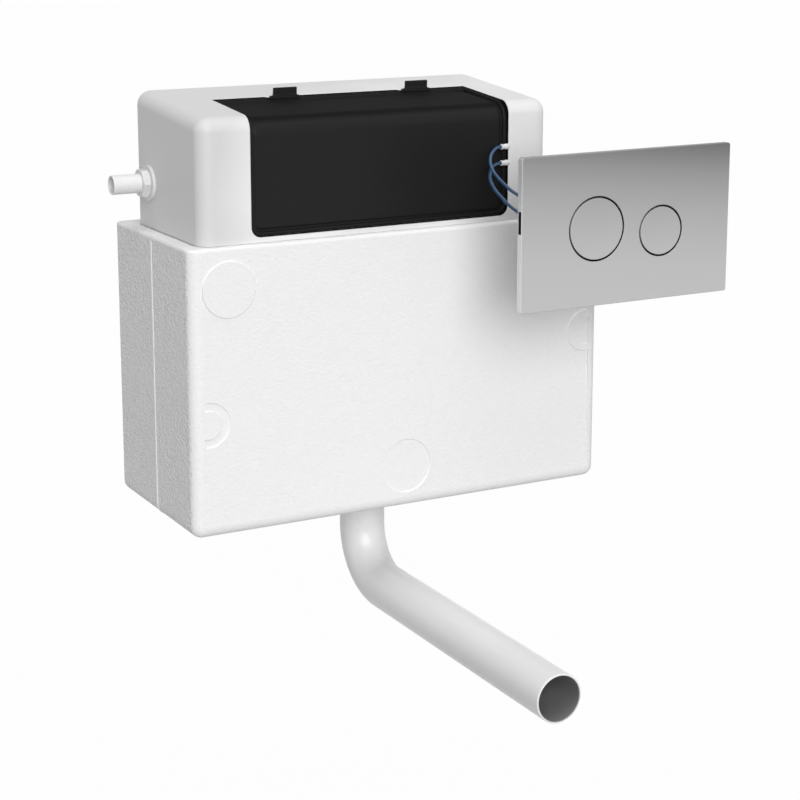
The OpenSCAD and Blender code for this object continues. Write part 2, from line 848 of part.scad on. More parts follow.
module outlet_backnut() {
    color("dimgray") placed() {
        difference() {
            union() {
                rod_z(0, parting, low_bottom - 3, low_bottom, jacket_hole_r - 1);
                translate([0, parting, socket_z])
                    cylinder(h = low_bottom - 3 - socket_z, r = jacket_hole_r - 2, $fn = 6);
            }
            rod_z(0, parting, 0, low_bottom + 1, valve_tail_r + fit_gap);
        }
    }
}

module pipe_coupling_nut() {
    top = socket_z - 1.5;
    color("dimgray") placed() {
        difference() {
            union() {
                rod_z(0, parting, nut_bottom, top, coupling_r - 1.5);
                for (a = [0 : 30 : 330])
                    translate([0, parting, 0])
                        rotate([0, 0, a])
                            rod_z(coupling_r - 3, 0, nut_bottom, top, 3);
            }
            rod_z(0, parting, nut_bottom + 2, top + 1, valve_tail_r + fit_gap);
            rod_z(0, parting, nut_bottom - 1, top, pipe_r + slide_gap);
        }
    }
}

module pipe_cone_seal() {
    z0 = nut_bottom + 2;
    color("black") placed() {
        translate([0, parting, 0])
            rotate_extrude()
                polygon([[pipe_r + fit_gap, z0], [valve_tail_r, z0],
                    [valve_tail_r, cone_top - 5], [valve_tail_r - 1.5, cone_top],
                    [pipe_r + fit_gap, cone_top]]);
    }
}

module flush_valve_cage() {
    window_h = cage_h - 22;
    color("white") placed() {
        difference() {
            union() {
                rod_z(0, parting, cage_z, cage_top, cage_r);
                rod_z(0, parting, cage_top - 1, tower_top, tower_r);
                rod_z(0, parting, bracket_z - 4, bracket_z, tower_r + 2.5);
            }
            rod_z(0, parting, cage_z - 1, cage_top - 4, cage_r - 2.5);
            rod_z(0, parting, cage_top - 5, cage_top + 3, overflow_r + slide_gap);
            rod_z(0, parting, cage_top + 2, tower_top + 1, tower_r - 2.5);
            for (a = [0 : 60 : 300])
                translate([0, parting, 0])
                    rotate([0, 0, a + 30])
                        block([cage_r - 8, -10, cage_z + 8],
                            [cage_r + 5, 10, cage_z + 8 + window_h]);
            for (a = [0, 90, 180, 270])
                translate([0, parting, 0])
                    rotate([0, 0, a + 45])
                        block([tower_r - 8, -6, cage_top + 20],
                            [tower_r + 5, 6, bracket_z - 14]);
        }
    }
}

module cylinder_shell(x, cap_z) {
    rod_z(x, parting, cylinder_z, cap_z + 3, cylinder_r);
    rod_y(x, parting - cylinder_r - 7, parting, cylinder_z + 5, nozzle_r);
}

module cylinder_space(x, cap_z) {
    rod_z(x, parting, cylinder_z + 3, cap_z, cylinder_in);
    rod_z(x, parting, cap_z - 1, cap_z + 4, rod_r + slide_gap);
    rod_y(x, parting - cylinder_r - 8, parting, cylinder_z + 5, nozzle_r - 1.2);
}

module actuator_head() {
    color("lightgray") placed() {
        difference() {
            union() {
                pillar(-cylinder_reach - cylinder_r, cylinder_reach + cylinder_r,
                    parting - cylinder_r, parting + cylinder_r, bracket_z,
                    bracket_z + 6, cylinder_r - 0.5);
                rod_z(0, parting, bracket_z, bracket_z + 10, tower_r + 3);
                cylinder_shell(-cylinder_reach, full_cap_z);
                cylinder_shell(cylinder_reach, half_cap_z);
            }
            rod_z(0, parting, bracket_z - 1, bracket_z + 11, tower_r + fit_gap);
            cylinder_space(-cylinder_reach, full_cap_z);
            cylinder_space(cylinder_reach, half_cap_z);
        }
    }
}

// Overflow tube with its crossbar, open at the top for water to spill down
module overflow_tube() {
    z0 = seat_z + seat_gap;
    color("royalblue") placed() {
        difference() {
            union() {
                rod_z(0, parting, z0, bar_z + bar_h, overflow_r);
                pillar(-cylinder_reach - 9, cylinder_reach + 9, parting - 6, parting + 6,
                    bar_z, bar_z + bar_h, 5.9);
            }
            rod_z(0, parting, z0 - 1, bar_z + bar_h + 1, overflow_r - overflow_wall);
        }
    }
}

module flush_seal() {
    z0 = seat_z + seat_gap;
    color("firebrick") placed() {
        difference() {
            rod_z(0, parting, z0, z0 + 4, seal_r);
            rod_z(0, parting, z0 - 1, z0 + 5, overflow_r);
        }
    }
}

module full_piston() {
    color("dimgray") placed() {
        rod_z(-cylinder_reach, parting, piston_z, piston_z + piston_h, piston_r);
        rod_z(-cylinder_reach, parting, piston_z + piston_h - 1, bar_z - seat_gap, rod_r);
    }
}

module half_piston() {
    color("dimgray") placed() {
        rod_z(cylinder_reach, parting, piston_z, piston_z + piston_h, piston_r);
        rod_z(cylinder_reach, parting, piston_z + piston_h - 1,
            min(bar_z - half_lift - 0.6, half_cap_z + 18), rod_r);
    }
}

// Flush pipe: an upright leg, a bend and a long leg towards the pan
module pipe_run(r, over) {
    bend_y = parting - pipe_bend_r;
    bend_z = pipe_bend_r - pipe_drop;
    rod_z(0, parting, bend_z, pipe_top + over, r);
    translate([0, bend_y, bend_z])
        rotate([90, 0, 90])
            rotate_extrude(angle = -90)
                translate([pipe_bend_r, 0])
                    circle(r = r);
    rod_y(0, -pipe_reach - over, bend_y, -pipe_drop, r);
}

module flush_pipe() {
    color("white") placed() {
        difference() {
            pipe_run(pipe_r, 0);
            pipe_run(pipe_r - pipe_wall, 1);
        }
    }
}

module spigot(z) {
    color("white") placed() {
        difference() {
            spigot_form(z);
            rod_x(spigot_x - 1, elbow_x, spigot_y, z, 1.3);
            rod_y(elbow_x, spigot_y, spigot_in + 1, z, 1.3);
        }
    }
}

module full_air_spigot() {
    spigot(spigot_h);
}

module half_air_spigot() {
    spigot(spigot_h + spigot_pitch);
}

module full_air_tube() {
    color("#3f5f86") placed()
        swept(full_route, [-1, 0, 0], [1, 0, 0], tube_r, 8);
}

module half_air_tube() {
    color("#3f5f86") placed()
        swept(half_route, [-1, 0, 0], [0, -1, 0], tube_r, 8);
}

// Front plate: a shallow tray with two button wells and a pry slot
module plate_face() {
    color("#9a9a9a") placed() {
        difference() {
            union() {
                difference() {
                    panel(plate_x0, plate_x1, plate_y0, plate_y1, plate_z0, plate_z1,
                        plate_corner_r);
                    panel(plate_x0 + 2.5, plate_x1 - 2.5, plate_y0 + plate_skin,
                        plate_y1 + 1, plate_z0 + 2.5, plate_z1 - 2.5, 0.9);
                }
                rod_y(full_x, plate_y0 + plate_skin - 1, plate_y1, full_z,
                    full_button_d / 2 + slide_gap + 2);
                rod_y(half_x, plate_y0 + plate_skin - 1, plate_y1, half_z,
                    half_button_d / 2 + slide_gap + 2);
            }
            rod_y(full_x, plate_y0 - 1, plate_y1 + 1, full_z, full_button_d / 2 + slide_gap);
            rod_y(half_x, plate_y0 - 1, plate_y1 + 1, half_z, half_button_d / 2 + slide_gap);
            block([plate_x0 - 1, plate_y0 + 2, plate_z1 - 67],
                [plate_x0 + 1.5, plate_y0 + 5, plate_z1 - 47]);
        }
    }
}

module plate_frame() {
    mid_x = (plate_x0 + plate_x1) / 2;
    low_z = plate_z0 + 16;
    color("#3c3e40") placed() {
        difference() {
            union() {
                panel(plate_x0 + 4, plate_x1 - 4, plate_y1, frame_y1, plate_z0 + 4,
                    plate_z1 - 4, 4);
            }
            rod_y(full_x, plate_y1 - 1, frame_y1 + 1, full_z, full_button_d / 2 + slide_gap);
            rod_y(half_x, plate_y1 - 1, frame_y1 + 1, half_z, half_button_d / 2 + slide_gap);
            for (x = [mid_x - fixing_spacing / 2, mid_x + fixing_spacing / 2])
                rod_y(x, plate_y1 - 1, frame_y1 + 1, low_z, fixing_r);
            panel(plate_x0 + 12, full_x - 40, plate_y1 - 1, frame_y1 + 1, plate_z0 + 34,
                plate_z1 - 16, 4);
            panel(half_x + 34, plate_x1 - 14, plate_y1 - 1, frame_y1 + 1, plate_z0 + 34,
                plate_z1 - 16, 4);
        }
    }
}

// Air pump housing: a flanged cup behind the frame
module pump_cup(x, z, r) {
    rod_y(x, frame_y1, frame_y1 + 2.5, z, r + 4);
    rod_y(x, frame_y1, pump_y1, z, r);
}

module pump_space(x, z, r) {
    rod_y(x, frame_y1 - 1, pump_y1 - 3, z, r - pump_wall);
}

module full_pump_housing() {
    r = full_button_d / 2 - 1.75;
    color("#2b2d2f") placed() {
        difference() {
            union() {
                pump_cup(full_x, full_z, r);
                rod_x(full_nozzle[0], full_x - r + 3, full_nozzle[1], full_nozzle[2], nozzle_r);
            }
            pump_space(full_x, full_z, r);
            rod_x(full_nozzle[0] - 1, full_x - 10, full_nozzle[1], full_nozzle[2], 1.3);
        }
    }
}

module half_pump_housing() {
    r = half_button_d / 2 - 1.75;
    color("#2b2d2f") placed() {
        difference() {
            union() {
                pump_cup(half_x, half_z, r);
                rod_y(half_x, pump_y1 - 1, half_nozzle_y, half_z, nozzle_r);
            }
            pump_space(half_x, half_z, r);
            rod_y(half_x, pump_y1 - 5, half_nozzle_y + 1, half_z, 1.3);
        }
    }
}

module flush_button(x, z, d) {
    difference() {
        rod_y(x, plate_y0, plate_y0 + button_t, z, d / 2);
        translate([x, plate_y0 - d * 2.5, z])
            sphere(r = d * 2.5 + 0.6, $fn = 96);
    }
    rod_y(x, plate_y0 + 1, plunger_y0, z, stem_r);
}

module full_flush_button() {
    color("#a6a6a6") placed()
        flush_button(full_x, full_z, full_button_d);
}

module half_flush_button() {
    color("#a6a6a6") placed()
        flush_button(half_x, half_z, half_button_d);
}

module plunger(x, z, d) {
    r = d / 2 - 1.75 - pump_wall - slide_gap;
    difference() {
        rod_y(x, plunger_y0, plunger_y1, z, r);
        rod_y(x, plunger_y0 + 3, plunger_y1 + 1, z, r - 3);
    }
}

module full_pump_plunger() {
    color("black") placed()
        plunger(full_x, full_z, full_button_d);
}

module half_pump_plunger() {
    color("black") placed()
        plunger(half_x, half_z, half_button_d);
}

// Return spring, inside the pump between the plunger's cup and the housing
module return_spring(x, z) {
    difference() {
        rod_y(x, plunger_y0 + 3, pump_y1 - 3, z, 11);
        rod_y(x, plunger_y0 + 2, pump_y1 - 2, z, 9.2);
    }
}

module full_button_spring() {
    color("silver") placed()
        return_spring(full_x, full_z);
}

module half_button_spring() {
    color("silver") placed()
        return_spring(half_x, half_z);
}

tank();
jacket_front();
jacket_back();
access_cover();
left_cover_tab();
right_cover_tab();
inlet_shank();
inlet_backnut();
inlet_flange_washer();
inlet_seal();
fill_valve_body();
fill_valve_cap();
lever_pin();
float_lever();
fill_float();
outlet_gasket();
flush_valve_base();
outlet_backnut();
pipe_coupling_nut();
pipe_cone_seal();
flush_valve_cage();
actuator_head();
overflow_tube();
flush_seal();
full_piston();
half_piston();
flush_pipe();
full_air_spigot();
half_air_spigot();
full_air_tube();
half_air_tube();
plate_face();
plate_frame();
full_pump_housing();
half_pump_housing();
full_flush_button();
half_flush_button();
full_pump_plunger();
half_pump_plunger();
full_button_spring();
half_button_spring();
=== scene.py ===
# %% [markdown]
# # A concealed toilet cistern
# The cistern hangs inside a wall: a white blow-moulded tank in a jacket of bead foam, closed by
# a black cover, with a grey push plate in front that works it through two thin air tubes.
# The CAD model gives every size. This file gives each piece its finished surface, its material
# and the light. Every piece is drawn in the jacket's own millimetres, because that is how a
# maker would measure it, and one helper turns them into the frame's metres.

import bmesh
import bpy
import numpy as np
from mathutils import Matrix, Vector, geometry


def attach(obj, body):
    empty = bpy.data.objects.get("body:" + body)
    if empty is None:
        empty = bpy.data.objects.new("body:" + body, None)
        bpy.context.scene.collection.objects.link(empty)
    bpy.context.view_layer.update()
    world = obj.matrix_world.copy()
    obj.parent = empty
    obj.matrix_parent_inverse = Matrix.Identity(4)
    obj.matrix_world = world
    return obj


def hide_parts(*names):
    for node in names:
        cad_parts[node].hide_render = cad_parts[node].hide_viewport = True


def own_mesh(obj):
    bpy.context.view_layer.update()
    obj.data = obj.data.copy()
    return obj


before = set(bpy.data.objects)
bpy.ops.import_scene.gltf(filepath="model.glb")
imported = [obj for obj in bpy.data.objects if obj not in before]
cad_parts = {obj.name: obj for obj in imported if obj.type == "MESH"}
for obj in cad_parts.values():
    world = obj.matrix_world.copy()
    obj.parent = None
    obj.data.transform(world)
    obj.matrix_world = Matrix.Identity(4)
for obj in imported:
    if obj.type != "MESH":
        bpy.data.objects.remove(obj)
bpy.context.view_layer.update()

# %% From the jacket's millimetres to the frame's metres
JACKET_DEPTH = 176.0
HANG_HEIGHT = 330.0


def in_frame(points):
    """The frame's zero is on the wall at the screws: y less 176, z less 330, all over 1000."""
    return (np.asarray(points, float) - (0.0, JACKET_DEPTH, HANG_HEIGHT)) / 1000.0


print("jacket's lower front edge:", in_frame([0, 0, 0]))

# %% [markdown]
# ## The camera
# The photograph looks at the object from the front left and a little from above, with a long
# lens. Turning and tilting by hand would be guesswork. The place and the two angles came from
# measured corners instead, and a small downward shift puts the object where it is in the frame.

# %% Place the camera
YAW, PITCH = 0.4955, 0.2071
EYE = (-0.83807, -1.71582, 0.23401)
FOCAL_PIXELS, PICTURE_PIXELS, SENSOR = 1978.83, 800, 36.0
forward = Vector((np.sin(YAW) * np.cos(PITCH), np.cos(YAW) * np.cos(PITCH), -np.sin(PITCH)))
right = Vector((np.cos(YAW), -np.sin(YAW), 0.0))
up = right.cross(forward)
camera = bpy.data.objects.new("Camera", bpy.data.cameras.new("Camera"))
camera.data.sensor_width = SENSOR
camera.data.lens = FOCAL_PIXELS / PICTURE_PIXELS * SENSOR
camera.data.shift_y = -0.125
turn = Matrix((right, up, -forward)).transposed().to_4x4()
camera.matrix_world = Matrix.Translation(EYE) @ turn
bpy.context.scene.collection.objects.link(camera)
bpy.context.scene.camera = camera
print("lens", round(camera.data.lens, 2), "mm")

# %% [markdown]
# ## Surfaces from grids of points
# A moulded piece could be carved with booleans, but their edges are hard to round. Here each
# face is a grid of points worked out by a formula, so roundings are part of the formula. The
# grids of one piece share their edges, and joining equal points makes one closed skin.


# %% Grids, lids and loops
def patch(points, rows_close=False, columns_close=False):
    """A grid of points, rows by columns, with a four-sided face between each four neighbours."""
    points = np.asarray(points, float)
    rows, columns = points.shape[:2]
    number = np.arange(rows * columns).reshape(rows, columns)
    r = np.arange(rows if rows_close else rows - 1)[:, None]
    c = np.arange(columns if columns_close else columns - 1)[None, :]
    r2, c2 = (r + 1) % rows, (c + 1) % columns
    faces = np.stack([number[r, c], number[r2, c], number[r2, c2], number[r, c2]], -1)
    return points.reshape(-1, 3), faces.reshape(-1, 4)


def lid(loop):
    """One flat face that closes a loop of points."""
    return np.asarray(loop, float), np.arange(len(loop))[None, :]


def sleeve(*skins):
    """Skins of rings in order, closed round each ring and from the last ring to the first."""
    return patch(np.concatenate(skins), rows_close=True, columns_close=True)


def rod(rows):
    """Rings in order, closed round each ring, with a lid on both ends."""
    return [patch(rows, columns_close=True), lid(rows[0]), lid(rows[-1])]


def upright(points, y):
    """Flat (x, z) points stood up at a depth y."""
    return np.insert(np.asarray(points, float), 1, y, axis=1)


def rounded_rectangle(a0, a1, b0, b1, r, steps=8):
    """Once round a rectangle: each corner's centre plus r times (cos, sin) of a quarter turn."""
    centres = np.array([[a1 - r, b0 + r], [a1 - r, b1 - r], [a0 + r, b1 - r], [a0 + r, b0 + r]])
    angle = np.radians([-90, 0, 90, 180])[:, None] + np.linspace(0, np.pi / 2, steps + 1)
    ring = centres[:, None] + r * np.stack([np.cos(angle), np.sin(angle)], -1)
    return ring.reshape(-1, 2)


def circle(a, b, r, steps=64):
    """Round a centre: (a, b) plus r times (cos, sin) of a full turn."""
    angle = np.arange(steps) * 2 * np.pi / steps
    return np.stack([a + r * np.cos(angle), b + r * np.sin(angle)], -1)


def flat_with_marks(outline, marks=(), holes=()):
    """Triangles over a flat outline that follow every mark, less those inside a hole."""
    loops = [np.asarray(loop, float) for loop in [outline, *marks, *holes]]
    starts = np.cumsum([0] + [len(loop) for loop in loops])
    edges = np.concatenate([
        np.stack([np.arange(len(loop)), np.roll(np.arange(len(loop)), -1)], -1) + start
        for loop, start in zip(loops, starts)])
    flat = [Vector(p) for p in np.concatenate(loops).tolist()]
    found = geometry.delaunay_2d_cdt(flat, edges.tolist(), [], 1, 1e-5)
    points, faces = np.array([tuple(p) for p in found[0]]), np.array(found[2])
    middle = points[faces].mean(1)
    inside = np.zeros(len(faces), bool)
    for hole in holes:
        nearest = np.linalg.norm(hole - hole.mean(0), axis=1).min()
        inside |= np.linalg.norm(middle - hole.mean(0), axis=1) < nearest * 0.999
    return points, faces[~inside]


print("a rounded corner has", len(rounded_rectangle(0, 9, 0, 9, 2)) // 4, "points")


# %% Put the grids into a mesh
JOIN = 0.002 / 1000


def make_piece(name, patches, body, slot, material, *nodes, crease=38.0):
    """One mesh from several patches: equal points join, faces turn outward, and an edge that
    bends more than the crease angle stays sharp. Large flat faces keep their own shading. The
    piece gets its material, rides on its body and stands for its CAD nodes."""
    corners, faces, start = [], [], 0
    for points, polygons in patches:
        corners.append(points)
        faces += (np.asarray(polygons) + start).tolist()
        start += len(points)
    mesh = bpy.data.meshes.new(name)
    mesh.from_pydata(in_frame(np.concatenate(corners)), [], faces)
    work = bmesh.new()
    work.from_mesh(mesh)
    bmesh.ops.remove_doubles(work, verts=work.verts, dist=JOIN)
    bmesh.ops.dissolve_degenerate(work, edges=work.edges, dist=JOIN / 4)
    bmesh.ops.recalc_face_normals(work, faces=work.faces)
    open_edges = sum(not edge.is_manifold for edge in work.edges)
    work.to_mesh(mesh)
    work.free()
    mesh.shade_smooth()
    mesh.set_sharp_from_angle(angle=np.radians(crease))
    mesh.materials.append(material)
    piece = bpy.data.objects.new(name, mesh)
    bpy.context.scene.collection.objects.link(piece)
    weigh = piece.modifiers.new("Flat faces stay flat", "WEIGHTED_NORMAL")
    weigh.keep_sharp = True
    weigh.weight = 90
    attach(piece, body)
    if nodes:
        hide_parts(*nodes)
    print(f"{name}: {len(mesh.polygons)} faces, {open_edges} open edges")
    return piece


# %% [markdown]
# ## Finishes
# Moulded plastic is never one flat colour: it drifts a little over its width, and its skin has
# a fine grain that catches the light. These two effects are shared, so each is a node group
# with named inputs. The shader itself stays in each material, where its gloss is plain to see.


# %% Node groups for grain and drift
def new_group(name, inputs, outputs):
    """An empty node group with named inputs and outputs."""
    tree = bpy.data.node_groups.new(name, "ShaderNodeTree")
    for label, kind, value in inputs:
        socket = tree.interface.new_socket(name=label, in_out="INPUT", socket_type=kind)
        if value is not None:
            socket.default_value = value
    for label, kind in outputs:
        tree.interface.new_socket(name=label, in_out="OUTPUT", socket_type=kind)
    given, result = tree.nodes.new("NodeGroupInput"), tree.nodes.new("NodeGroupOutput")
    return tree, given.outputs, result.inputs


def add_node(tree, kind, inputs=(), **settings):
    """A shader node. Each input is given a plain value, or another node's socket to link to."""
    node = tree.nodes.new("ShaderNode" + kind)
    for label, value in settings.items():
        setattr(node, label, value)
    for label, value in dict(inputs).items():
        if isinstance(value, bpy.types.NodeSocket):
            tree.links.new(value, node.inputs[label])
        else:
            node.inputs[label].default_value = value
    return node


def worked_out(tree, operation, *terms):
    """One sum on values and sockets."""
    return add_node(tree, "Math", enumerate(terms), operation=operation).outputs["Value"]


def ranged(tree, value, start, end, low=0.0, high=1.0):
    """Low where the value is at the start or before, high at the end or beyond, even between."""
    return add_node(tree, "MapRange", {"Value": value, "From Min": start, "From Max": end,
                                       "To Min": low, "To Max": high}).outputs["Result"]


def tinted(tree, factor, low, high):
    """The first colour where the factor is 0, the second where it is 1."""
    return add_node(tree, "Mix", {"Factor": factor, 6: low, 7: high}, data_type="RGBA").outputs[2]


def split(tree, kind="TexCoord", label="Object"):
    """X, Y and Z of the object's own coordinates, or of another node's vector."""
    vector = add_node(tree, kind).outputs[label]
    return add_node(tree, "SeparateXYZ", {"Vector": vector}).outputs


VECTOR, FLOAT, COLOUR = "NodeSocketVector", "NodeSocketFloat", "NodeSocketColor"

grain_group, given, result = new_group(
    "Moulded grain", [("Place", VECTOR, None), ("Scale", FLOAT, 900.0),
                      ("Soft scale", FLOAT, 60.0)],
    [("Height", FLOAT)])
fine, broad = (
    add_node(grain_group, "TexNoise", {
        "Vector": given["Place"], "Scale": given[scale], "Detail": detail}).outputs["Fac"]
    for scale, detail in (("Scale", 3.0), ("Soft scale", 1.0)))
blend = add_node(grain_group, "Mix", {"Factor": 0.35, "A": fine, "B": broad})
grain_group.links.new(blend.outputs["Result"], result["Height"])

drift_group, given, result = new_group(
    "Colour drift", [("Place", VECTOR, None), ("Scale", FLOAT, 9.0), ("Low", COLOUR, None),
                     ("High", COLOUR, None), ("Matt", FLOAT, 0.5), ("Shiny", FLOAT, 0.4),
                     ("Painted shade", FLOAT, 0.0)],
    [("Colour", COLOUR), ("Roughness", FLOAT)])
cloud = add_node(drift_group, "TexNoise", {
    "Vector": given["Place"], "Scale": given["Scale"], "Detail": 2.0})
spread = ranged(drift_group, cloud.outputs["Fac"], 0.35, 0.65)
# The last input moves the colour towards Low or High; the tank and the cover feed it painted shade.
shift = add_node(drift_group, "Math", {0: spread, 1: given["Painted shade"]}, use_clamp=True)
pushed = shift.outputs["Value"]
gloss = add_node(drift_group, "Mix", {"Factor": pushed, "A": given["Matt"], "B": given["Shiny"]})
drift_group.links.new(tinted(drift_group, pushed, given["Low"], given["High"]), result["Colour"])
drift_group.links.new(gloss.outputs["Result"], result["Roughness"])
print("node groups:", [group.name for group in bpy.data.node_groups])


# %% A plastic from its colour, grain and gloss
def screen(value):
    """A linear colour for the shader, from a grey between 0 and 255 on the screen or from a
    screen colour written as six hexadecimal digits."""
    digits = value if isinstance(value, str) else f"{value:02x}" * 3
    share = np.array([int(digits[i:i + 2], 16) for i in (0, 2, 4)]) / 255
    linear = np.where(share <= 0.04045, share / 12.92, ((share + 0.055) / 1.055) ** 2.4)
    return (*linear.tolist(), 1.0)


def start_material(name, level, rough=0.5, metal=0.0):
    """A material, its tree, its shader's inputs and the object's own coordinates."""
    material = bpy.data.materials.new(name)
    material.use_nodes = True
    tree = material.node_tree
    shader = tree.nodes["Principled BSDF"].inputs
    shader["Specular IOR Level"].default_value = level
    shader["Roughness"].default_value = rough
    shader["Metallic"].default_value = metal
    return material, tree, shader, add_node(tree, "TexCoord").outputs["Object"]


def add_grain(tree, shader, place, scale, depth):
    """The moulded grain as bump; depth is in millimetres."""
    skin = add_node(tree, "Group", {"Place": place, "Scale": scale, "Soft scale": scale / 12},
                    node_tree=grain_group)
    bump = add_node(tree, "Bump", {"Height": skin.outputs["Height"], "Distance": depth / 1000})
    tree.links.new(bump.outputs["Normal"], shader["Normal"])


def plastic(name, low, high, rough, grain=900, depth=0.05, drift=9.0, level=0.5, metal=0.0):
    """A colour that drifts from low to high, with its gloss, under a fine grain."""
    material, tree, shader, place = start_material(name, level, metal=metal)
    shade = add_node(tree, "Group", {
        "Place": place, "Scale": drift, "Low": screen(low), "High": screen(high),
        "Matt": rough + 0.05, "Shiny": rough - 0.05}, node_tree=drift_group, name="Drift")
    tree.links.new(shade.outputs["Colour"], shader["Base Color"])
    tree.links.new(shade.outputs["Roughness"], shader["Roughness"])
    add_grain(tree, shader, place, grain, depth)
    return material


tank_white = plastic("Tank white", 214, 235, 0.42, grain=420, depth=0.04, drift=5, level=0.4)
part_white = plastic("Fitting white", 222, 230, 0.38, depth=0.01, drift=25)
pipe_white = plastic("Pipe white", 231, 236, 0.29, grain=300, depth=0.01, drift=6)
nut_grey = plastic("Nut light grey", 214, 222, 0.45, depth=0.03, drift=30)
dark_grey = plastic("Fitting dark grey", 72, 80, 0.5, depth=0.04, drift=30)
cover_black = plastic("Cover black", 21, 33, 0.4, grain=1500, depth=0.01, drift=0.3, level=0.09)
# Black for the pocket's liner, and for the pieces that stand in for shade in the pry slot and the
# wells' gaps.
liner_and_shade_black = plastic("Liner black and painted shade", 20, 26, 0.7, depth=0.02, level=0.02)
frame_dark = plastic("Frame charcoal", 58, 66, 0.5, depth=0.05, drift=20)
pump_black = plastic("Pump black", 36, 42, 0.42, depth=0.03, drift=25)
valve_blue = plastic("Valve blue", "2f63a8", "3a6fb4", 0.35, depth=0.02, drift=25)
float_blue = plastic("Float pale blue", "a9bdd3", "b6c8dc", 0.4, depth=0.03, drift=20)
seal_black = plastic("Seal rubber", 34, 40, 0.7, grain=1800, depth=0.04, level=0.3)
seal_red = plastic("Seal red rubber", "9c2f26", "aa382e", 0.55, depth=0.03, level=0.35)
tube_blue = plastic("Tube blue", "2b4a6e", "315378", 0.3, grain=300, depth=0.01, drift=30)
steel = plastic("Spring steel", 176, 186, 0.32, grain=2600, depth=0.01, metal=1.0)

# The tank's colour carries painted shade: a little darker towards its left edge and on its top.
tree = tank_white.node_tree
across = ranged(tree, split(tree)["X"], -0.192, -0.146, -0.7, 0.35)
upward = split(tree, "NewGeometry", "Normal")["Z"]
tank_painted_shade = worked_out(tree, "MULTIPLY_ADD", upward, -0.7, across)
tree.links.new(tank_painted_shade, tree.nodes["Drift"].inputs["Painted shade"])

# The cover's top came out of the mould matt, its front smoother. Its colour is painted shade:
# darker on the top, lighter on the front, by which way the face looks.
tree = cover_black.node_tree
drift = tree.nodes["Drift"].inputs
upward = split(tree, "NewGeometry", "Normal")["Z"]
tree.links.new(ranged(tree, upward, 0.25, 1.0, 1.0, -1.0), drift["Painted shade"])
drift["Matt"].default_value = 1.0
print("plastics made:", len(bpy.data.materials))

# %% Painted shade inside the flush pipe
PIPE_LEVEL = 0.4198
tree = pipe_white.node_tree
place = split(tree)
over = worked_out(tree, "ADD", place["Z"], PIPE_LEVEL)
square = add_node(tree, "CombineXYZ", {"X": place["X"], "Z": over}).outputs["Vector"]
away = add_node(tree, "VectorMath", {0: square}, operation="LENGTH").outputs["Value"]
outer_skin = worked_out(tree, "MAXIMUM", ranged(tree, away, 0.0199, 0.0203),
                        ranged(tree, place["Y"], -0.18, -0.17))
# Painted shade: the bore of the forward run is tinted darker grey than the pipe's outside.
base = tree.nodes["Principled BSDF"].inputs["Base Color"]
tree.links.new(tinted(tree, outer_skin, screen(134), base.links[0].from_socket), base)
print("the pipe's bore is grey")

# %% [markdown]
# ## Bead foam
# The jacket is expanded polystyrene: small beads steamed in a mould until they flatten against
# each other. A cell pattern is the honest way to draw it. Each bead is a shallow dome, the
# seams between beads are fine valleys, and beads differ a little in whiteness.

# %% The foam's material
foam_group, given, result = new_group(
    "Steamed beads", [("Place", VECTOR, None), ("Beads per metre", FLOAT, 300.0),
                      ("Low", COLOUR, None), ("High", COLOUR, None)],
    [("Height", FLOAT), ("Colour", COLOUR)])
layout = {"Vector": given["Place"], "Scale": given["Beads per metre"]}
beads = add_node(foam_group, "TexVoronoi", {**layout, "Smoothness": 0.35}, feature="SMOOTH_F1")
cells = add_node(foam_group, "TexVoronoi", layout)
dome = ranged(foam_group, beads.outputs["Distance"], 0.0, 0.75, 1.0, 0.0)
slant = add_node(foam_group, "Mapping", {
    "Vector": given["Place"], "Rotation": (0.6, 0.5, 0.0), "Scale": (0.5, 0.45, 1.15)})
strokes = add_node(foam_group, "TexNoise", {
    "Vector": slant.outputs["Vector"], "Scale": 560.0, "Detail": 3.0})
relief = add_node(foam_group, "Mix", {"Factor": 0.7, "A": dome, "B": strokes.outputs["Fac"]})
pick = add_node(foam_group, "SeparateColor", {"Color": cells.outputs["Color"]}).outputs["Red"]
foam_group.links.new(relief.outputs["Result"], result["Height"])
foam_group.links.new(tinted(foam_group, pick, given["Low"], given["High"]), result["Colour"])

foam, tree, shader, place = start_material("Bead foam", 0.25, rough=0.75)
skin = add_node(tree, "Group", {"Place": place, "Low": screen(239), "High": screen(241)},
                node_tree=foam_group)

# The mould's raised line and the rim came out smooth, and the line is a little whiter. The
# beads stand out most on the jacket's two ends.
place, facing = split(tree), split(tree, "NewGeometry", "Normal")
apart = worked_out(tree, "ABSOLUTE", worked_out(tree, "ADD", place["Y"], JACKET_DEPTH / 2000))
off_line = ranged(tree, apart, 0.0018, 0.0022)
below_rim = ranged(tree, place["Z"], -0.0725, -0.0745)
by_side = ranged(tree, worked_out(tree, "ABSOLUTE", facing["X"]), 0.9, 1.0, 0.33, 1.5)
rough_here = worked_out(tree, "MULTIPLY", off_line, below_rim)
height = worked_out(tree, "MULTIPLY", skin.outputs["Height"],
                    worked_out(tree, "MULTIPLY", by_side, rough_here))
bump = add_node(tree, "Bump", {"Height": height, "Distance": 0.0016})
tree.links.new(bump.outputs["Normal"], shader["Normal"])
tree.links.new(tinted(tree, off_line, screen(243), skin.outputs["Colour"]), shader["Base Color"])
print("beads per metre:", skin.inputs["Beads per metre"].default_value)

# %% [markdown]
# ## The air tubes
# Two soft plastic tubes, 3 mm thick, run from white spigots beside the cover to the pumps
# behind the plate. A bevelled curve would do, but a mesh carried along the route lets the
# route's own points say how long the tube is. The points repeat the CAD model's.


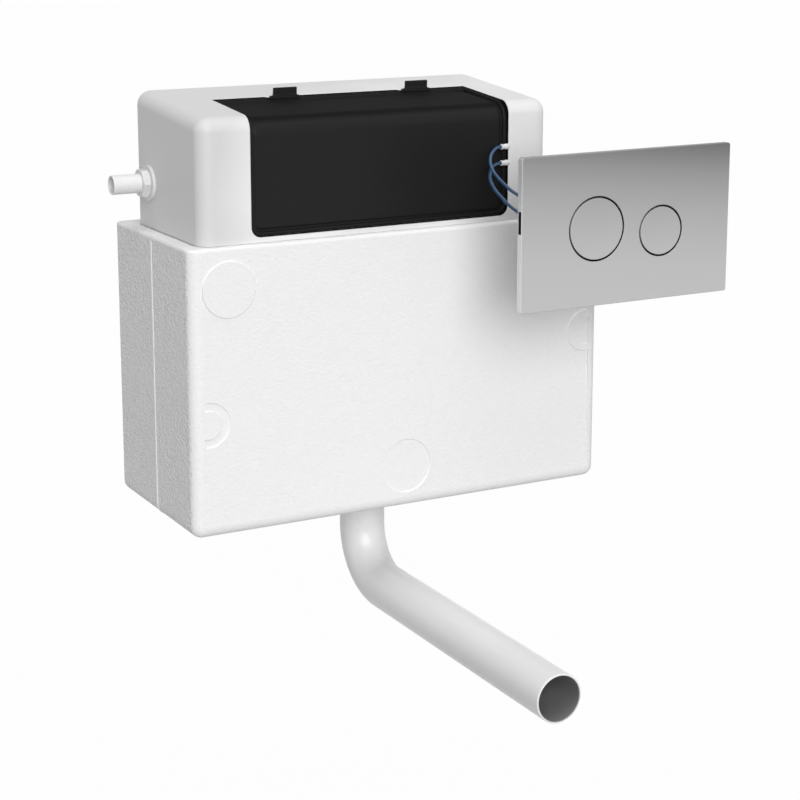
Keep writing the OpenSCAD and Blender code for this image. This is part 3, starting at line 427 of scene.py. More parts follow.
# %% A smooth route and a round section carried along it
def smooth_route(points, first, last, steps=6):
    """Between two points, the cubic blend of both points and both slopes. A slope is half the
    way from the point before to the point after."""
    points = np.asarray(points, float)
    slope = np.gradient(points, axis=0)
    slope[0] = np.asarray(first, float) * np.linalg.norm(points[1] - points[0])
    slope[-1] = np.asarray(last, float) * np.linalg.norm(points[-1] - points[-2])
    t = (np.arange(steps) / steps)[:, None, None]
    curve = ((2 * t**3 - 3 * t**2 + 1) * points[:-1] + (t**3 - 2 * t**2 + t) * slope[:-1]
             + (3 * t**2 - 2 * t**3) * points[1:] + (t**3 - t**2) * slope[1:])
    return np.vstack([curve.transpose(1, 0, 2).reshape(-1, 3), points[-1]])


def unit(vectors):
    """Each vector over its own length."""
    return vectors / np.linalg.norm(vectors, axis=-1, keepdims=True)


def carried_ring(path, radius, steps=24, upward=(0.0, 0.0, 1.0)):
    """Round each path point: radius times (cos a * side + sin a * over), where side is square
    to the path and to the upward direction, and over is square to both."""
    path = np.asarray(path, float)
    along = unit(np.gradient(path, axis=0))
    side = unit(np.cross(along, np.broadcast_to(upward, along.shape)))
    over = np.cross(side, along)
    a = (np.arange(steps) * 2 * np.pi / steps)[None, :, None]
    ring = np.cos(a) * side[:, None] + np.sin(a) * over[:, None]
    return path[:, None] + np.reshape(radius, (-1, 1, 1)) * ring


full_route = [
    (103, 6.1, 313), (98, 4.8, 312.8), (92, 1, 312), (85.5, -5, 309.8), (81, -11, 306),
    (77.8, -17, 302), (75.8, -25, 297.6), (74.4, -34, 293.6), (74, -43, 290), (73.4, -52, 286.6),
    (73, -61, 284), (72.8, -69, 282), (74, -76, 279.5), (78.5, -82, 276), (85, -85, 272.5),
    (91.5, -86, 270.5), (98, -86, 270)]
half_route = [
    (103, 6.1, 328), (98, 5, 327.7), (92.5, 1.6, 326), (87, -2.6, 322.4), (83.6, -7, 318),
    (81.4, -12, 314), (80, -19, 309.4), (79.2, -28, 305.4), (78.6, -38, 301.8), (78, -48, 298.8),
    (78.4, -56, 296.2), (82, -61, 293.2), (90, -62, 289.6), (101, -59.5, 286), (113, -56, 282.4),
    (126, -53, 278.6), (139, -50.5, 275), (152, -48.4, 271.4), (165, -46.6, 268),
    (177, -45.4, 265), (187, -45.6, 262.4), (194, -47.4, 260.8), (199, -51.6, 260),
    (201, -56, 259.7), (201, -60, 259.7)]
TUBE_RADIUS, TUBE_BORE = 1.5, 1.0
for size, route, last in (("full", full_route, (1, 0, 0)), ("half", half_route, (0, -1, 0))):
    path = smooth_route(route, (-1, 0, 0), last)
    walls = sleeve(carried_ring(path, TUBE_RADIUS), carried_ring(path, TUBE_BORE)[::-1])
    tube = make_piece(f"{size}_tube", [walls], "cistern", "tube_blue", tube_blue,
                      f"{size}_air_tube")

# %% [markdown]
# ## The foam jacket
# The jacket is two shells that meet at a parting plane half way back, where the mould left a
# raised line. Half of it is one wall section carried round a U: under the floor, up the
# outside, over the rim, down the inside and back along the floor to the outlet's hole.
# A bevelled box would give the corners too, but not the lap over the tank's right shoulder.

# %% Half an outline of the jacket
PARTING = 88.0
FACE_FOOT = 11.0
HALF_WIDTH = 210


def half_loop(x0, x1, far, r, z, ridge=0.0, drop=0.0):
    """From the parting plane on the left, round the far face, back to it on the right. The
    first two points stand out by the ridge and hang down by the drop: the mould's raised line."""
    way = np.sign(far - PARTING)
    depth = abs(far - PARTING) - r
    side = np.concatenate([[0.0, 1.6, 2.0], np.linspace(2.0, depth, 4)[1:]])
    q = np.linspace(0, np.pi / 2, 9)[1:]
    x = np.concatenate([np.full(6, x0), x0 + r - r * np.cos(q), [x0 + r + 1.0]])
    y = np.concatenate([side, depth + r * np.sin(q), [depth + r]])
    line = np.concatenate([[1.0, 1.0], np.zeros(13)])
    left = np.stack([x - ridge * line, PARTING + way * y, z - drop * line], -1)
    rightward = left[::-1] * (-1, 1, 1) + (x0 + x1, 0, 0)
    return np.vstack([left, rightward])


def wall_section(far, cavity, corner):
    """The loops of the wall, in order round its section, for the far face and the cavity's.
    The corner is the radius of the two upright edges."""
    way = np.sign(far - PARTING)
    a = np.linspace(0, np.pi / 2, 7)
    hole = PARTING + way * 36.0
    rows = [half_loop(-36, 36, hole, 33.5, 13.5), half_loop(-36, 36, hole, 33.5, 0.8),
            half_loop(-36.8, 36.8, hole + way * 0.8, 34.3, 0.0, drop=0.6)]
    for inset, z in zip(10 * (1 - np.sin(a)), 10 * (1 - np.cos(a))):
        down = 0.6 * (1 - np.sqrt(max(0.0, z / 10)))
        rows.append(half_loop(inset - HALF_WIDTH, HALF_WIDTH - inset, far - way * inset,
                              max(corner - inset, 0.01), z, ridge=0.6 - down, drop=down))
    rows += [half_loop(-HALF_WIDTH, HALF_WIDTH, far, corner, z, ridge)
             for z, ridge in ((FACE_FOOT, 0.6), (254.0, 0.6), (255.0, 0.0), (256.2, 0.0))]
    for inset, z in zip(2.5 * (1 - np.cos(a)), 256.5 + 2.5 * np.sin(a)):
        rows.append(half_loop(inset - HALF_WIDTH, HALF_WIDTH - inset, far - way * inset,
                              corner - inset, z))
    rows += [half_loop(-197.7, 155.2, cavity + way * 0.7, 13.7, 259),
             half_loop(-197, 154.5, cavity, 13, 258.3), half_loop(-197, 154.5, cavity, 13, 245.5),
             half_loop(-197, 197, cavity, 13, 245.5), half_loop(-197, 197, cavity, 13, 13.5)]
    return np.array(rows)


front_rows = wall_section(0.0, 12.0, 10.0)
print("wall section:", front_rows.shape[0], "loops of", front_rows.shape[1], "points")

# %% [markdown]
# ## Ejector marks on the foam
# Four round marks on the front show where pins pushed the jacket out of its mould. Two are
# steps outward and two are steps inward, each a little over 1 mm. They could be painted as
# bump, but a real step shades rightly from every side, so the front face is triangulated
# round them.

# %% The front face with its marks
STEP = 1.3
MARKS = [(-173.5, 222.0, 25.0, 0.0, -STEP), (1.0, 39.5, 25.0, 0.0, STEP),
         (-194.5, 103.0, 20.0, 13.0, STEP), (194.5, 147.0, 20.0, 13.0, -STEP)]
EDGE = 198.3


def front_face(corners):
    """The flat face between its four corners. A mark's depth steps over 0.9 mm at its rim."""
    rings = []
    for x, z, outer, inner, _ in MARKS:
        for r in (outer, inner) if inner else (outer,):
            for step in (-0.45, 0.45):
                ring = circle(x, z, r + step, 96)
                ring[:, 0] = np.clip(ring[:, 0], -EDGE, EDGE)
                rings.append(ring)
    points, faces = flat_with_marks(corners[:, [0, 2]], rings)
    depth = np.zeros(len(points))
    for x, z, outer, inner, step in MARKS:
        away = np.linalg.norm(points - (x, z), axis=1)
        mark = np.interp(away, [outer - 0.44, outer + 0.44], [1.0, 0.0])
        if inner:
            mark *= np.interp(away, [inner - 0.44, inner + 0.44], [0.0, 1.0])
        depth += step * mark
    depth *= np.abs(points[:, 0]) < EDGE + 0.1
    return upright(points, depth), faces


lower = np.flatnonzero(front_rows[:, 0, 2] == FACE_FOOT)[0]
middle = front_rows.shape[1] // 2 - 1
corners = front_rows[[lower, lower, lower + 1, lower + 1], [middle, middle + 1, middle + 1, middle]]
wall_points, wall_faces = patch(front_rows, rows_close=True)
wall_faces = np.delete(wall_faces, lower * (front_rows.shape[1] - 1) + middle, axis=0)
make_piece("jacket_front_half", [
    (wall_points, wall_faces), front_face(corners), lid(front_rows[:, 0]), lid(front_rows[:, -1])],
    "cistern", "jacket_foam", foam, "jacket_front")
back_rows = wall_section(JACKET_DEPTH, 158.5, 4.0)
make_piece("jacket_back_half", [
    patch(back_rows, rows_close=True), lid(back_rows[:, 0]), lid(back_rows[:, -1])],
    "cistern", "jacket_foam", foam, "jacket_back")
print("marks on the front:", len(MARKS))

# %% [markdown]
# ## The tank
# The tank is blow-moulded: a soft-edged shell with a stepped pocket for the cover that wraps
# from its front over to its top. Subdivision would round it but move the pocket's edges. So
# the shell is a rounded box (a core plus a radius times a direction), and the pocket is a set
# of loops that sink from the skin down to the ledge, through the opening and into the tank.

# %% Curves that wrap from the top to the front
FALL = np.tan(np.radians(5.0))
LEAN = np.hypot(1.0, FALL)
TOP_WAY = np.array([-np.sin(np.radians(5.0)), np.cos(np.radians(5.0))])


def top_height(y):
    """The tank's top rises 5 degrees towards the wall, to 382.5 mm at y = 158."""
    return 382.5 - FALL * (158.0 - y)


SKIN = (19.0, top_height(19.0) - 13 * LEAN)
BEND = (27.0, top_height(27.0) - 19 * LEAN)
BACK = (145.0, top_height(145.0) - 13 * LEAN)


def wrap_curve(centre, radius, rear, low):
    """From the rear forward along the sloping top, round the bend about its centre, and down
    the front: the points and the outward directions, both as (y, z)."""
    cy, cz = centre
    start = np.array(centre) + radius * TOP_WAY
    y = rear + (start[0] - rear) * np.array([0, 0.25, 0.5, 0.75])
    top = np.stack([y, start[1] + FALL * (y - start[0])], -1)
    angle = np.radians(np.linspace(95, 180, 15))
    ways = np.stack([np.cos(angle), np.sin(angle)], -1)
    z = cz + (low - cz) * np.array([0.2, 0.4, 0.6, 0.8, 1.0])
    front = np.stack([np.full(5, cy - radius), z], -1)
    points = np.vstack([top, np.array(centre) + radius * ways, front])
    outward = np.vstack([np.tile(TOP_WAY, (4, 1)), ways, np.tile((-1.0, 0.0), (5, 1))])
    return points, outward


def wrap_loop(x0, x1, rears, low, r, centre, radius, jogs):
    """Once round the pocket: along the rear, down the right side, round a corner of radius r,
    along the bottom and back up the left side, all on one wrapped surface."""
    inner = np.concatenate([[x0], jogs, [x1]])
    rears = np.broadcast_to(rears, inner.shape)
    start = np.array(centre) + radius * TOP_WAY
    rear = np.stack([inner, rears, start[1] + FALL * (rears - start[0])], -1)
    side, _ = wrap_curve(centre, radius, rears[0], low + r)
    q = np.linspace(0, np.pi / 2, 9)[1:]
    face = centre[0] - radius
    down = np.column_stack([np.full(len(side) - 1, x1), side[1:]])
    corner = np.stack([x1 - r + r * np.cos(q), np.full(8, face), low + r - r * np.sin(q)], -1)
    bottom = np.stack([jogs[::-1], np.full(len(jogs), face), np.full(len(jogs), low)], -1)
    mirrored = np.vstack([down, corner])[::-1] * (-1, 1, 1) + (x0 + x1, 0, 0)
    return np.vstack([rear, down, corner, bottom, mirrored])


TABS = (-80.0, 55.0)
tank_jogs = np.concatenate([[x - 17.04, x - 12.75, x + 12.75, x + 17.04] for x in TABS])
TONGUE = np.array([0, 0, 1, 1, 0, 0, 1, 1, 0, 0])
print("bend centre:", np.round(BEND, 2), "skin centre:", np.round(SKIN, 2))


# %% The shell of the tank and its pocket
def shell(radius, foot, x0, x1, rear, low):
    """A rounded box less the pocket's window. Column by column it is the core plus the radius
    times a direction; the columns at both ends turn their direction from sideways to forward."""
    turn = np.linspace(0, np.pi / 2, 10)
    core_x = np.concatenate([np.full(10, -183.5), [-182.5, x0], tank_jogs, [x1, 140.0],
                             np.full(10, 141.0)])
    out_x = np.concatenate([-np.cos(turn), np.zeros(12), np.cos(turn[::-1])])
    out_y = np.concatenate([np.sin(turn), np.ones(12), np.sin(turn[::-1])])
    side, ways = wrap_curve(SKIN, radius, rear, low)
    angle = np.radians(np.linspace(0, 95, 10))
    back_ways = np.stack([np.cos(angle), np.sin(angle)], -1)
    core = np.vstack([[(145.0, foot), (145.0, 330.0)], np.tile(BACK, (10, 1)),
                      side - radius * ways, [(19.0, foot)]])
    out = np.vstack([[(1.0, 0.0), (1.0, 0.0)], back_ways, ways, [(-1.0, 0.0)]])
    grid = np.empty((len(core_x), len(core), 3))
    grid[..., 0] = (core_x + radius * out_x)[:, None]
    grid[..., 1:] = core + radius * out_y[:, None, None] * out
    patches = [patch(grid[:12]), patch(grid[20:]), patch(grid[11:21, :13]),
               patch(grid[11:21, -2:]), lid(grid[0]), lid(grid[-1])]
    return patches, np.vstack([grid[:, -1], grid[::-1, 0]])


# The edges of the pocket's rim
LEFT, RIGHT, REAR, FOOT = -148, 111, 90.0, 264


def pocket_loop(edge, sink):
    """A loop that lies the edge distance inside the pocket's rim and sinks from the skin (0)
    to the ledge (1); behind each tab the rim runs 5 mm further forward."""
    rears = REAR - edge - 5.0 * TONGUE
    skin_loop, ledge_loop = (
        wrap_loop(LEFT + edge, RIGHT - edge, rears, FOOT + edge, 9 - edge, centre, 13.0,
                  tank_jogs)
        for centre in (SKIN, BEND))
    return skin_loop * (1 - sink) + ledge_loop * sink


outer, outer_foot = shell(13.0, 260.4, -160.0, 123.0, 102.0, 261.4)
inner, inner_foot = shell(9.0, 262.5, -156.0, 119.0, 102.0, 263.6)
rows = [wrap_loop(-160, 123, 102.0, 261.4, 0, SKIN, 13.0, tank_jogs)]
for edge, sink in ((-1.3, 0), (-0.65, 0.02), (-0.2, 0.08), (0, 0.16), (0, 0.9), (0.25, 0.98),
                   (0.8, 1)):
    rows.append(pocket_loop(edge, sink))
for edge, radius in ((8, 13.0), (8.3, 12.3), (8.3, 9.6), (7.8, 9.0)):
    rows.append(wrap_loop(LEFT + edge, RIGHT - edge, REAR - edge, FOOT + edge, 3.0, BEND,
                          radius, tank_jogs))
for centre in (BEND, SKIN):
    rows.append(wrap_loop(-152, 115, 94.0, 265.0, 4.0, centre, 9.0, tank_jogs))
rows.append(wrap_loop(-156, 119, 102.0, 263.6, 0, SKIN, 9.0, tank_jogs))


def foot_loop(loop, z, neck=0, wide=0, inset=0.0):
    """The shell's foot moved to a height; the neck steps back 6.5 mm at the front, and the
    body below it is 42.5 mm wider on the right."""
    moved = loop.copy()
    moved[:, 1] += neck * 6.5 * (loop[:, 1] < 60)
    moved[:, 0] += wide * 42.5 * (loop[:, 0] > 124)
    centre = (moved.max(0) + moved.min(0)) / 2
    moved += np.sign(centre - moved) * inset
    moved[:, 2] = z
    return moved


OUTLET_RADIUS = 25.05
body = foot_loop(outer_foot, 14, 1, 1)
angle = np.arctan2(body[:, 1] - PARTING, body[:, 0])
outlet = np.stack([OUTLET_RADIUS * np.cos(angle), PARTING + OUTLET_RADIUS * np.sin(angle),
                   0 * angle], -1)
lower_rows = [outer_foot, *(foot_loop(outer_foot, *move) for move in (
    (259.4, 0, 0, 0.3), (259.0, 0, 0, 1.2), (259.0, 1), (245.0, 1), (245.0, 1, 1), (16.0, 1, 1),
    (14.0, 1, 1, 2.0)))]
lower_rows += [outlet + (0, 0, 14), outlet + (0, 0, 18)]
lower_rows += [foot_loop(inner_foot, *move) for move in (
    (18, 1, 1), (241, 1, 1), (241, 1), (262.5, 1))]
lower_rows.append(inner_foot)
make_piece("tank_shell", outer + inner + [patch(rows, columns_close=True),
                                          patch(lower_rows, columns_close=True)],
           "cistern", "tank_plastic", tank_white, "tank")
print("pocket loops:", len(rows), "lower loops:", len(lower_rows))

# %% [markdown]
# ## The hanging brackets
# Two open cups on the tank's back stand off the wall and drop over the wall screws. Each is a
# shallow box with a round hole, so it is built flat by flat, and a bevel softens its edges.


# %% Two cups with screw holes
def cup(x):
    """Outer and inner box walls, a back plate with a hole, and a U-shaped rim on top."""
    hole = circle(x, HANG_HEIGHT, 3.5, 40)
    faces = [patch([upright(hole, y) for y in (172.0, JACKET_DEPTH)], columns_close=True)]
    for half, low, back in ((16, 310, JACKET_DEPTH), (12, 314, 172.0)):
        walls = np.array([(x - half, 344), (x - half, low), (x + half, low), (x + half, 344)])
        flat, triangles = flat_with_marks(walls[[1, 2, 3, 0]], holes=[hole])
        faces += [(upright(flat, back), triangles),
                  patch([upright(walls, y) for y in (157.0, back)])]
    front = np.array([(-16, 344), (-16, 310), (16, 310), (16, 344), (12, 344), (12, 314),
                      (-12, 314), (-12, 344)])
    top = np.array([(-16, 157), (-16, 176), (16, 176), (16, 157), (12, 157), (12, 172),
                    (-12, 172), (-12, 157)])
    faces.append(lid(upright(front + (x, 0), 157.0)))
    faces.append(lid(np.insert(top + (x, 0), 2, 344.0, axis=1)))
    return faces


brackets = make_piece("hanging_brackets", cup(-100.0) + cup(100.0), "cistern", "tank_plastic",
                      tank_white, crease=30)
soften = brackets.modifiers.new("Softened edges", "BEVEL")
soften.width = 0.0008
soften.segments = 2
brackets.modifiers.move(1, 0)
print("brackets:", brackets.name)

# %% [markdown]
# ## The access cover
# The black cover follows the tank's bend. A raised bead runs round it, then a narrow groove,
# then the panel. All three are one cross-section that the loops carry round the edge, and the
# panel inside the last loop is a plain grid on the same wrapped surface.

# %% Bead, groove and panel
COVER_LEFT, COVER_RIGHT, COVER_FOOT, COVER_BEND = -147.3, 110.3, 264.7, 18.0
cover_jogs = np.concatenate([[x - 17.35, x - 13.45, x + 13.45, x + 17.35] for x in TABS])


def cover_loop(edge, depth):
    """A loop inside the cover's edge, at a depth under the bead. The bead is 3 mm wide, but
    7 mm along the rear, where the edge is notched 5 mm behind each tab."""
    rear = edge + 4.0 * np.clip(edge / 3, 0, 1)
    notch = 5.0 * TONGUE * np.clip(1 - edge / 3, 0, 1)
    corner = max(8.3 - 0.8 * edge, 2.0) if edge < 11 else 0.0
    return wrap_loop(COVER_LEFT + edge, COVER_RIGHT - edge, 89.3 - rear - notch,
                     COVER_FOOT + edge, corner, BEND, COVER_BEND - depth, cover_jogs)


def panel_grid(edge, depth):
    """The field inside the loop: the wrapped curve repeated at each place across."""
    curve, _ = wrap_curve(BEND, COVER_BEND - depth, 85.3 - edge, COVER_FOOT + edge)
    across = np.concatenate([[COVER_LEFT + edge], cover_jogs, [COVER_RIGHT - edge]])
    return np.concatenate([np.tile(across[:, None, None], (1, len(curve), 1)),
                           np.tile(curve, (len(across), 1, 1))], -1)


SECTION = [(12, 4.7), (0.5, 4.7), (0, 4.3), (0, 0.8), (0.1, 0.4), (0.35, 0.1), (0.8, 0), (2.2, 0),
           (2.65, 0.1), (2.9, 0.4), (3.0, 0.8), (3.05, 3.1), (3.25, 3.4), (3.6, 3.5), (4.6, 3.5),
           (5.2, 3.4), (5.6, 3.1), (5.9, 2.8), (6.4, 2.56), (7.2, 2.5), (12, 2.5)]
make_piece("cover_panel", [
    patch([cover_loop(edge, depth) for edge, depth in SECTION], columns_close=True),
    patch(panel_grid(12, 2.5)), patch(panel_grid(12, 4.7))],
    "cover", "cover_plastic", cover_black, "access_cover")
liner_rows = [pocket_loop(edge, sink) for edge, sink in (
    (0.05, 0.1), (0.05, 0.97), (0.6, 0.97), (0.6, 0.14), (0.45, 0.08), (0.2, 0.07))]
make_piece("pocket_liner", [sleeve(liner_rows)], "cistern", "black_plastic", liner_and_shade_black)
print("section points across the bead:", len(SECTION))

# %% [markdown]
# ## The cover's tabs
# Two soft grips stand at the cover's rear edge on flanged feet. A box with a bevel looks hard;
# here one rounded outline grows and shrinks as it rises, so foot, fillet and rim are one skin.


# %% Two grips that lean with the tank's top
GRIP_BACK = 83.6


def grip(name, x, node):
    """Rounded rectangles stacked upward: half width, front, back, corner radius and height."""
    levels = [(14.4, -4.3, -0.1, 0.5, 0.0), (15.0, -4.5, 0.0, 0.9, 0.4),
              (15.0, -4.5, 0.0, 0.9, 1.9), (14.7, -4.3, -0.1, 0.9, 2.4),
              (13.6, -3.7, -0.3, 0.9, 2.6), (12.3, -3.1, -0.5, 0.8, 2.9),
              (11.85, -2.85, -0.6, 0.8, 3.6), (11.75, -2.8, -0.6, 0.8, 5.0),
              (11.75, -2.8, -0.6, 0.8, 9.2), (11.6, -2.65, -0.75, 0.7, 9.7),
              (11.2, -2.3, -1.1, 0.55, 10.0)]
    rows = np.array([
        np.insert(rounded_rectangle(x - half, x + half, front, back, r, 6), 2, height, axis=1)
        for half, front, back, r, height in levels])
    y, z = rows[..., 1].copy(), rows[..., 2].copy()
    cos, sin = TOP_WAY[1], -TOP_WAY[0]
    rows[..., 1] = GRIP_BACK + cos * y - sin * z
    rows[..., 2] = top_height(GRIP_BACK) - LEAN + sin * y + cos * z
    make_piece(name, rod(rows), "cover", "black_plastic", cover_black, node)


grip("left_grip", TABS[0], "left_cover_tab")
grip("right_grip", TABS[1], "right_cover_tab")

# %% [markdown]
# ## Turned pieces
# Nuts, tails, seals and buttons are turned or nearly turned. One function carries a profile
# round an axis. Because the radius may change with the angle too, the same function also
# draws a hexagon with chamfered corners and a screw thread.


# %% A profile carried round an axis
def turned(radius, height, centre, axis="x", steps=96):
    """Centre plus height along the axis plus radius times (cos a, sin a) square to it. The
    radius has one row for each height, and may have one column for each angle."""
    a = np.arange(steps) * 2 * np.pi / steps
    radius = np.broadcast_to(np.reshape(radius, (len(height), -1)), (len(height), steps))
    height = np.broadcast_to(np.reshape(height, (-1, 1)), radius.shape)
    order = {"x": [2, 0, 1], "y": [1, 2, 0], "z": [0, 1, 2]}[axis]
    local = np.stack([radius * np.cos(a), radius * np.sin(a), height], -1)
    return local[..., order] + np.asarray(centre, float)


# %% [markdown]
# ## The inlet
# The supply tail is a threaded plastic tube through the tank's side, held by a hexagon nut on
# a flange washer. A thread is a helix, so the tail's radius follows the distance along it
# less one pitch per turn.

# %% Tail, nut and washer
INLET = (0.0, 122.0, 301.0)
THREAD_PITCH, THREAD_DEPTH = 1.814, 0.14
x = np.concatenate([np.linspace(-233, -231.4, 5), np.linspace(-231.2, -206.9, 150), [-206.7]])
wave = np.abs(((x[:, None] / THREAD_PITCH - np.arange(72) / 72) % 1.0) * 2 - 1)
fade = np.clip((x + 231.8) / 2.0, 0, 1) * np.clip(-206.8 - x, 0, 1)
tail = 8.8 - THREAD_DEPTH * fade[:, None] * wave
tail[0], tail[1] = 8.35, 8.65
rest_x = [-206.7, -190.5, -190.5, -187.9, -187.5, -187.5, -232.6, -233.0]
rest_r = [8.5, 8.5, 12.6, 13.0, 12.6, 7.0, 7.0, 7.4]
make_piece("inlet_tail", [sleeve(turned(tail, x, INLET, steps=72),
                                 turned(rest_r, rest_x, INLET, steps=72))],
           "cistern", "white_plastic", part_white, "inlet_shank", crease=50)

NUT = (-206.7, -199.7)
angle = np.arange(120) * 2 * np.pi / 120
flat = 11.9 / np.cos(angle % (np.pi / 3) - np.pi / 6)
nut_x = NUT[0] + np.array([0, 0.3, 0.6, 0.9, 1.2, 1.5, 4.4, 5.8, 6.2, 6.5, 6.7, 7.0])
cone = 12.1 + 1.5 * np.minimum(nut_x - NUT[0], NUT[1] - nut_x)
hexagon = turned(np.minimum(flat, cone[:, None]), nut_x, INLET, steps=120)
bore = turned([8.55, 8.55, 8.85], [NUT[1], NUT[0] + 0.3, NUT[0]], INLET, steps=120)
make_piece("inlet_nut", [sleeve(hexagon, bore)], "cistern", "grey_plastic", nut_grey,
           "inlet_backnut", crease=26)

ring_x = [-199.7, -199.3, -196.9, -196.5, -196.5, -199.7]
ring_r = [15.7, 16.3, 16.3, 15.9, 8.85, 8.85]
make_piece("inlet_washer", [sleeve(turned(ring_r, ring_x, INLET))], "cistern", "grey_plastic",
           nut_grey, "inlet_flange_washer")
print("thread turns:", round(24.3 / THREAD_PITCH, 1))

# %% [markdown]
# ## The air spigots
# Each tube pushes onto a short white spigot with a soft waist. The spigot leaves the side of
# the cover's pocket, so its far end bends back under the tank's skin. It is a carried ring
# again, whose radius changes along the path to draw the flange, the waist and the root.

# %% Two waisted spigots
quarter = np.radians(np.linspace(0, 90, 9))
straight = [(x, 6.1) for x in (
    102.8, 102.82, 103.1, 104.1, 104.5, 104.9, 106.4, 106.9, 107.3, 107.8)]
elbow = np.stack([107.8 + 3.6 * np.sin(quarter), 9.7 - 3.6 * np.cos(quarter)], -1)
for size, z in (("full", 313.0), ("half", 328.0)):
    path = np.insert(np.vstack([straight, elbow[1:], [(111.4, 20)]]), 2, z, axis=1)
    radius = np.array([1.5, 2.4, 2.6, 2.6, 2.45, 2.25, 2.25, 2.45, 2.6, 2.65] + [2.6] * 9)
    make_piece(f"{size}_spigot", rod(carried_ring(path, radius, 40)), "cistern", "white_plastic",
               part_white, f"{size}_air_spigot")
print("spigot path points:", len(path))

# %% [markdown]
# ## The flush pipe
# A thick plastic pipe comes down from the valve, bends through a right angle and runs forward
# to the pan. It is the same carried ring as the air tubes, with a real wall and a rounded rim
# at its open end, where the wall's thickness shows.

# %% Down, round the bend and forward
BEND_RADIUS, RUN_HEIGHT = 50.0, -89.8
bend = np.radians(np.linspace(0, 90, 33))
path = np.vstack([
    [(0, PARTING, z) for z in (12.0, 11.2, -10.0, -25.0)],
    np.column_stack([0 * bend, PARTING - BEND_RADIUS * (1 - np.cos(bend)),
                     RUN_HEIGHT + BEND_RADIUS * (1 - np.sin(bend))]),
    [(0, y, RUN_HEIGHT) for y in (
        0.0, -60.0, -130.0, -200.0, -258.0, -262.6, -263.4, -263.8, -264.0)]])
r_out, r_in = np.full(len(path), 21.5), np.full(len(path), 19.5)
r_out[0] = 21.1
r_out[-3:] = (21.4, 21.1, 20.7)
r_in[-2:] = (19.7, 20.0)
outside, inside = (carried_ring(path, r, 72, upward=(1.0, 0.0, 0.0)) for r in (r_out, r_in))
make_piece("outlet_pipe_run", [sleeve(outside, inside[::-1])], "outlet_pipe", "white_plastic",
           pipe_white, "flush_pipe")
print("pipe's centre line:", round(np.linalg.norm(np.diff(path, axis=0), axis=1).sum()), "mm")

# %% [markdown]
# ## The coupling nut
# A nut with finger grips clamps a rubber cone round the pipe's top. The photograph shows no nut
# under the jacket's front edge, so the nut stays low enough in height to hide behind it.

# %% Twelve grips round a ring, and the cone inside it
GRIPS = 12
OUTLET_AXIS = (0, PARTING, 0)
angle = np.arange(144) * 2 * np.pi / 144
grips = 29.5 + 1.5 * np.clip(np.cos(GRIPS * angle), 0, 1)
coupling_r = np.array([grips - 0.4, grips, grips, grips - 0.4,
                       *(0 * angle + r for r in (25.2, 25.2, 21.8, 21.8))])
coupling_z = [-16.0, -15.6, 2.1, 2.5, 2.5, -14.2, -14.2, -16.0]
make_piece("coupling_nut", [sleeve(turned(coupling_r, coupling_z, OUTLET_AXIS, "z", 144))],
           "cistern", "black_plastic", dark_grey, "pipe_coupling_nut", crease=50)
cone = turned([21.6, 24.9, 24.9, 21.6], [-14.1, -14.1, -12.1, -12.1], OUTLET_AXIS, "z")
make_piece("cone_seal", [sleeve(cone)], "cistern", "seal_rubber", seal_black, "pipe_cone_seal")
print("grips on the nut:", GRIPS)

# %% [markdown]
# ## The flush plate
# The plate is a shallow tray with two round wells and a pry slot in its left edge. Its satin
# paint carries a painted reflection, darker towards the top. The tray's loops run from the
# front over the edge to the inside, and the two flat faces are triangulated round the wells.

# %% The plate's paint and its painted reflection
plate_paint_and_reflection, tree, shader, place = start_material("Satin grey paint and painted reflection", 0.45, rough=0.38, metal=0.35)
along = split(tree)
# Painted reflection: the colour runs from light at the lower left to dark at the upper right.
climb = worked_out(tree, "MULTIPLY_ADD", along["X"], 0.1, along["Z"])
painted_reflection = add_node(tree, "ValToRGB", {"Fac": ranged(tree, climb, -0.127, 0.032)})
stops = painted_reflection.color_ramp.elements
stops[0].color, stops[1].color = screen(192), screen(108)
for spot, value in ((0.28, 188), (0.44, 181), (0.6, 171), (0.72, 160), (0.83, 146)):
    stops.new(spot).color = screen(value)
# The tray's left edge is painted lighter than its face: a painted highlight.
painted_highlight_left = ranged(tree, split(tree, "NewGeometry", "Normal")["X"], -0.6, -0.98)
tree.links.new(tinted(tree, painted_highlight_left, painted_reflection.outputs["Color"], screen(232)), shader["Base Color"])
add_grain(tree, shader, place, 2400, 0.02)
print("paint stops:", len(stops))

# %% The tray, its wells and the pry slot
WELLS = {"full": (132.0, 266.8, 29.15), "half": (201.0, 259.7, 23.4)}
SLOT = (267.5, 287.5)
PLATE_LEFT, PLATE_RIGHT, PLATE_FOOT, PLATE_TOP = 54, 276, 197.5, 334.5
PLATE_FACE = -110.0


def tray_loop(inset, y, r=2.0, slot=0.0):
    """A rounded rectangle at a depth; four extra points on its left side draw the slot in."""
    ring = rounded_rectangle(PLATE_LEFT + inset, PLATE_RIGHT - inset, PLATE_FOOT + inset,
                             PLATE_TOP - inset, r, 5)
    ends = np.array([SLOT[1] + 0.1, SLOT[1] - 0.1, SLOT[0] + 0.1, SLOT[0] - 0.1])
    extra = np.column_stack([PLATE_LEFT + inset + slot * np.array([0, 1, 1, 0]), ends])
    return upright(np.insert(ring, 18, extra, axis=0), y)


def flat_face(loop, y, margin):
    """The flat inside a tray loop, less the wells and a margin round them."""
    holes = [circle(x, z, r + margin, 96) for x, z, r in WELLS.values()]
    flat, triangles = flat_with_marks(loop[:, [0, 2]], holes=holes)
    return upright(flat, y), triangles


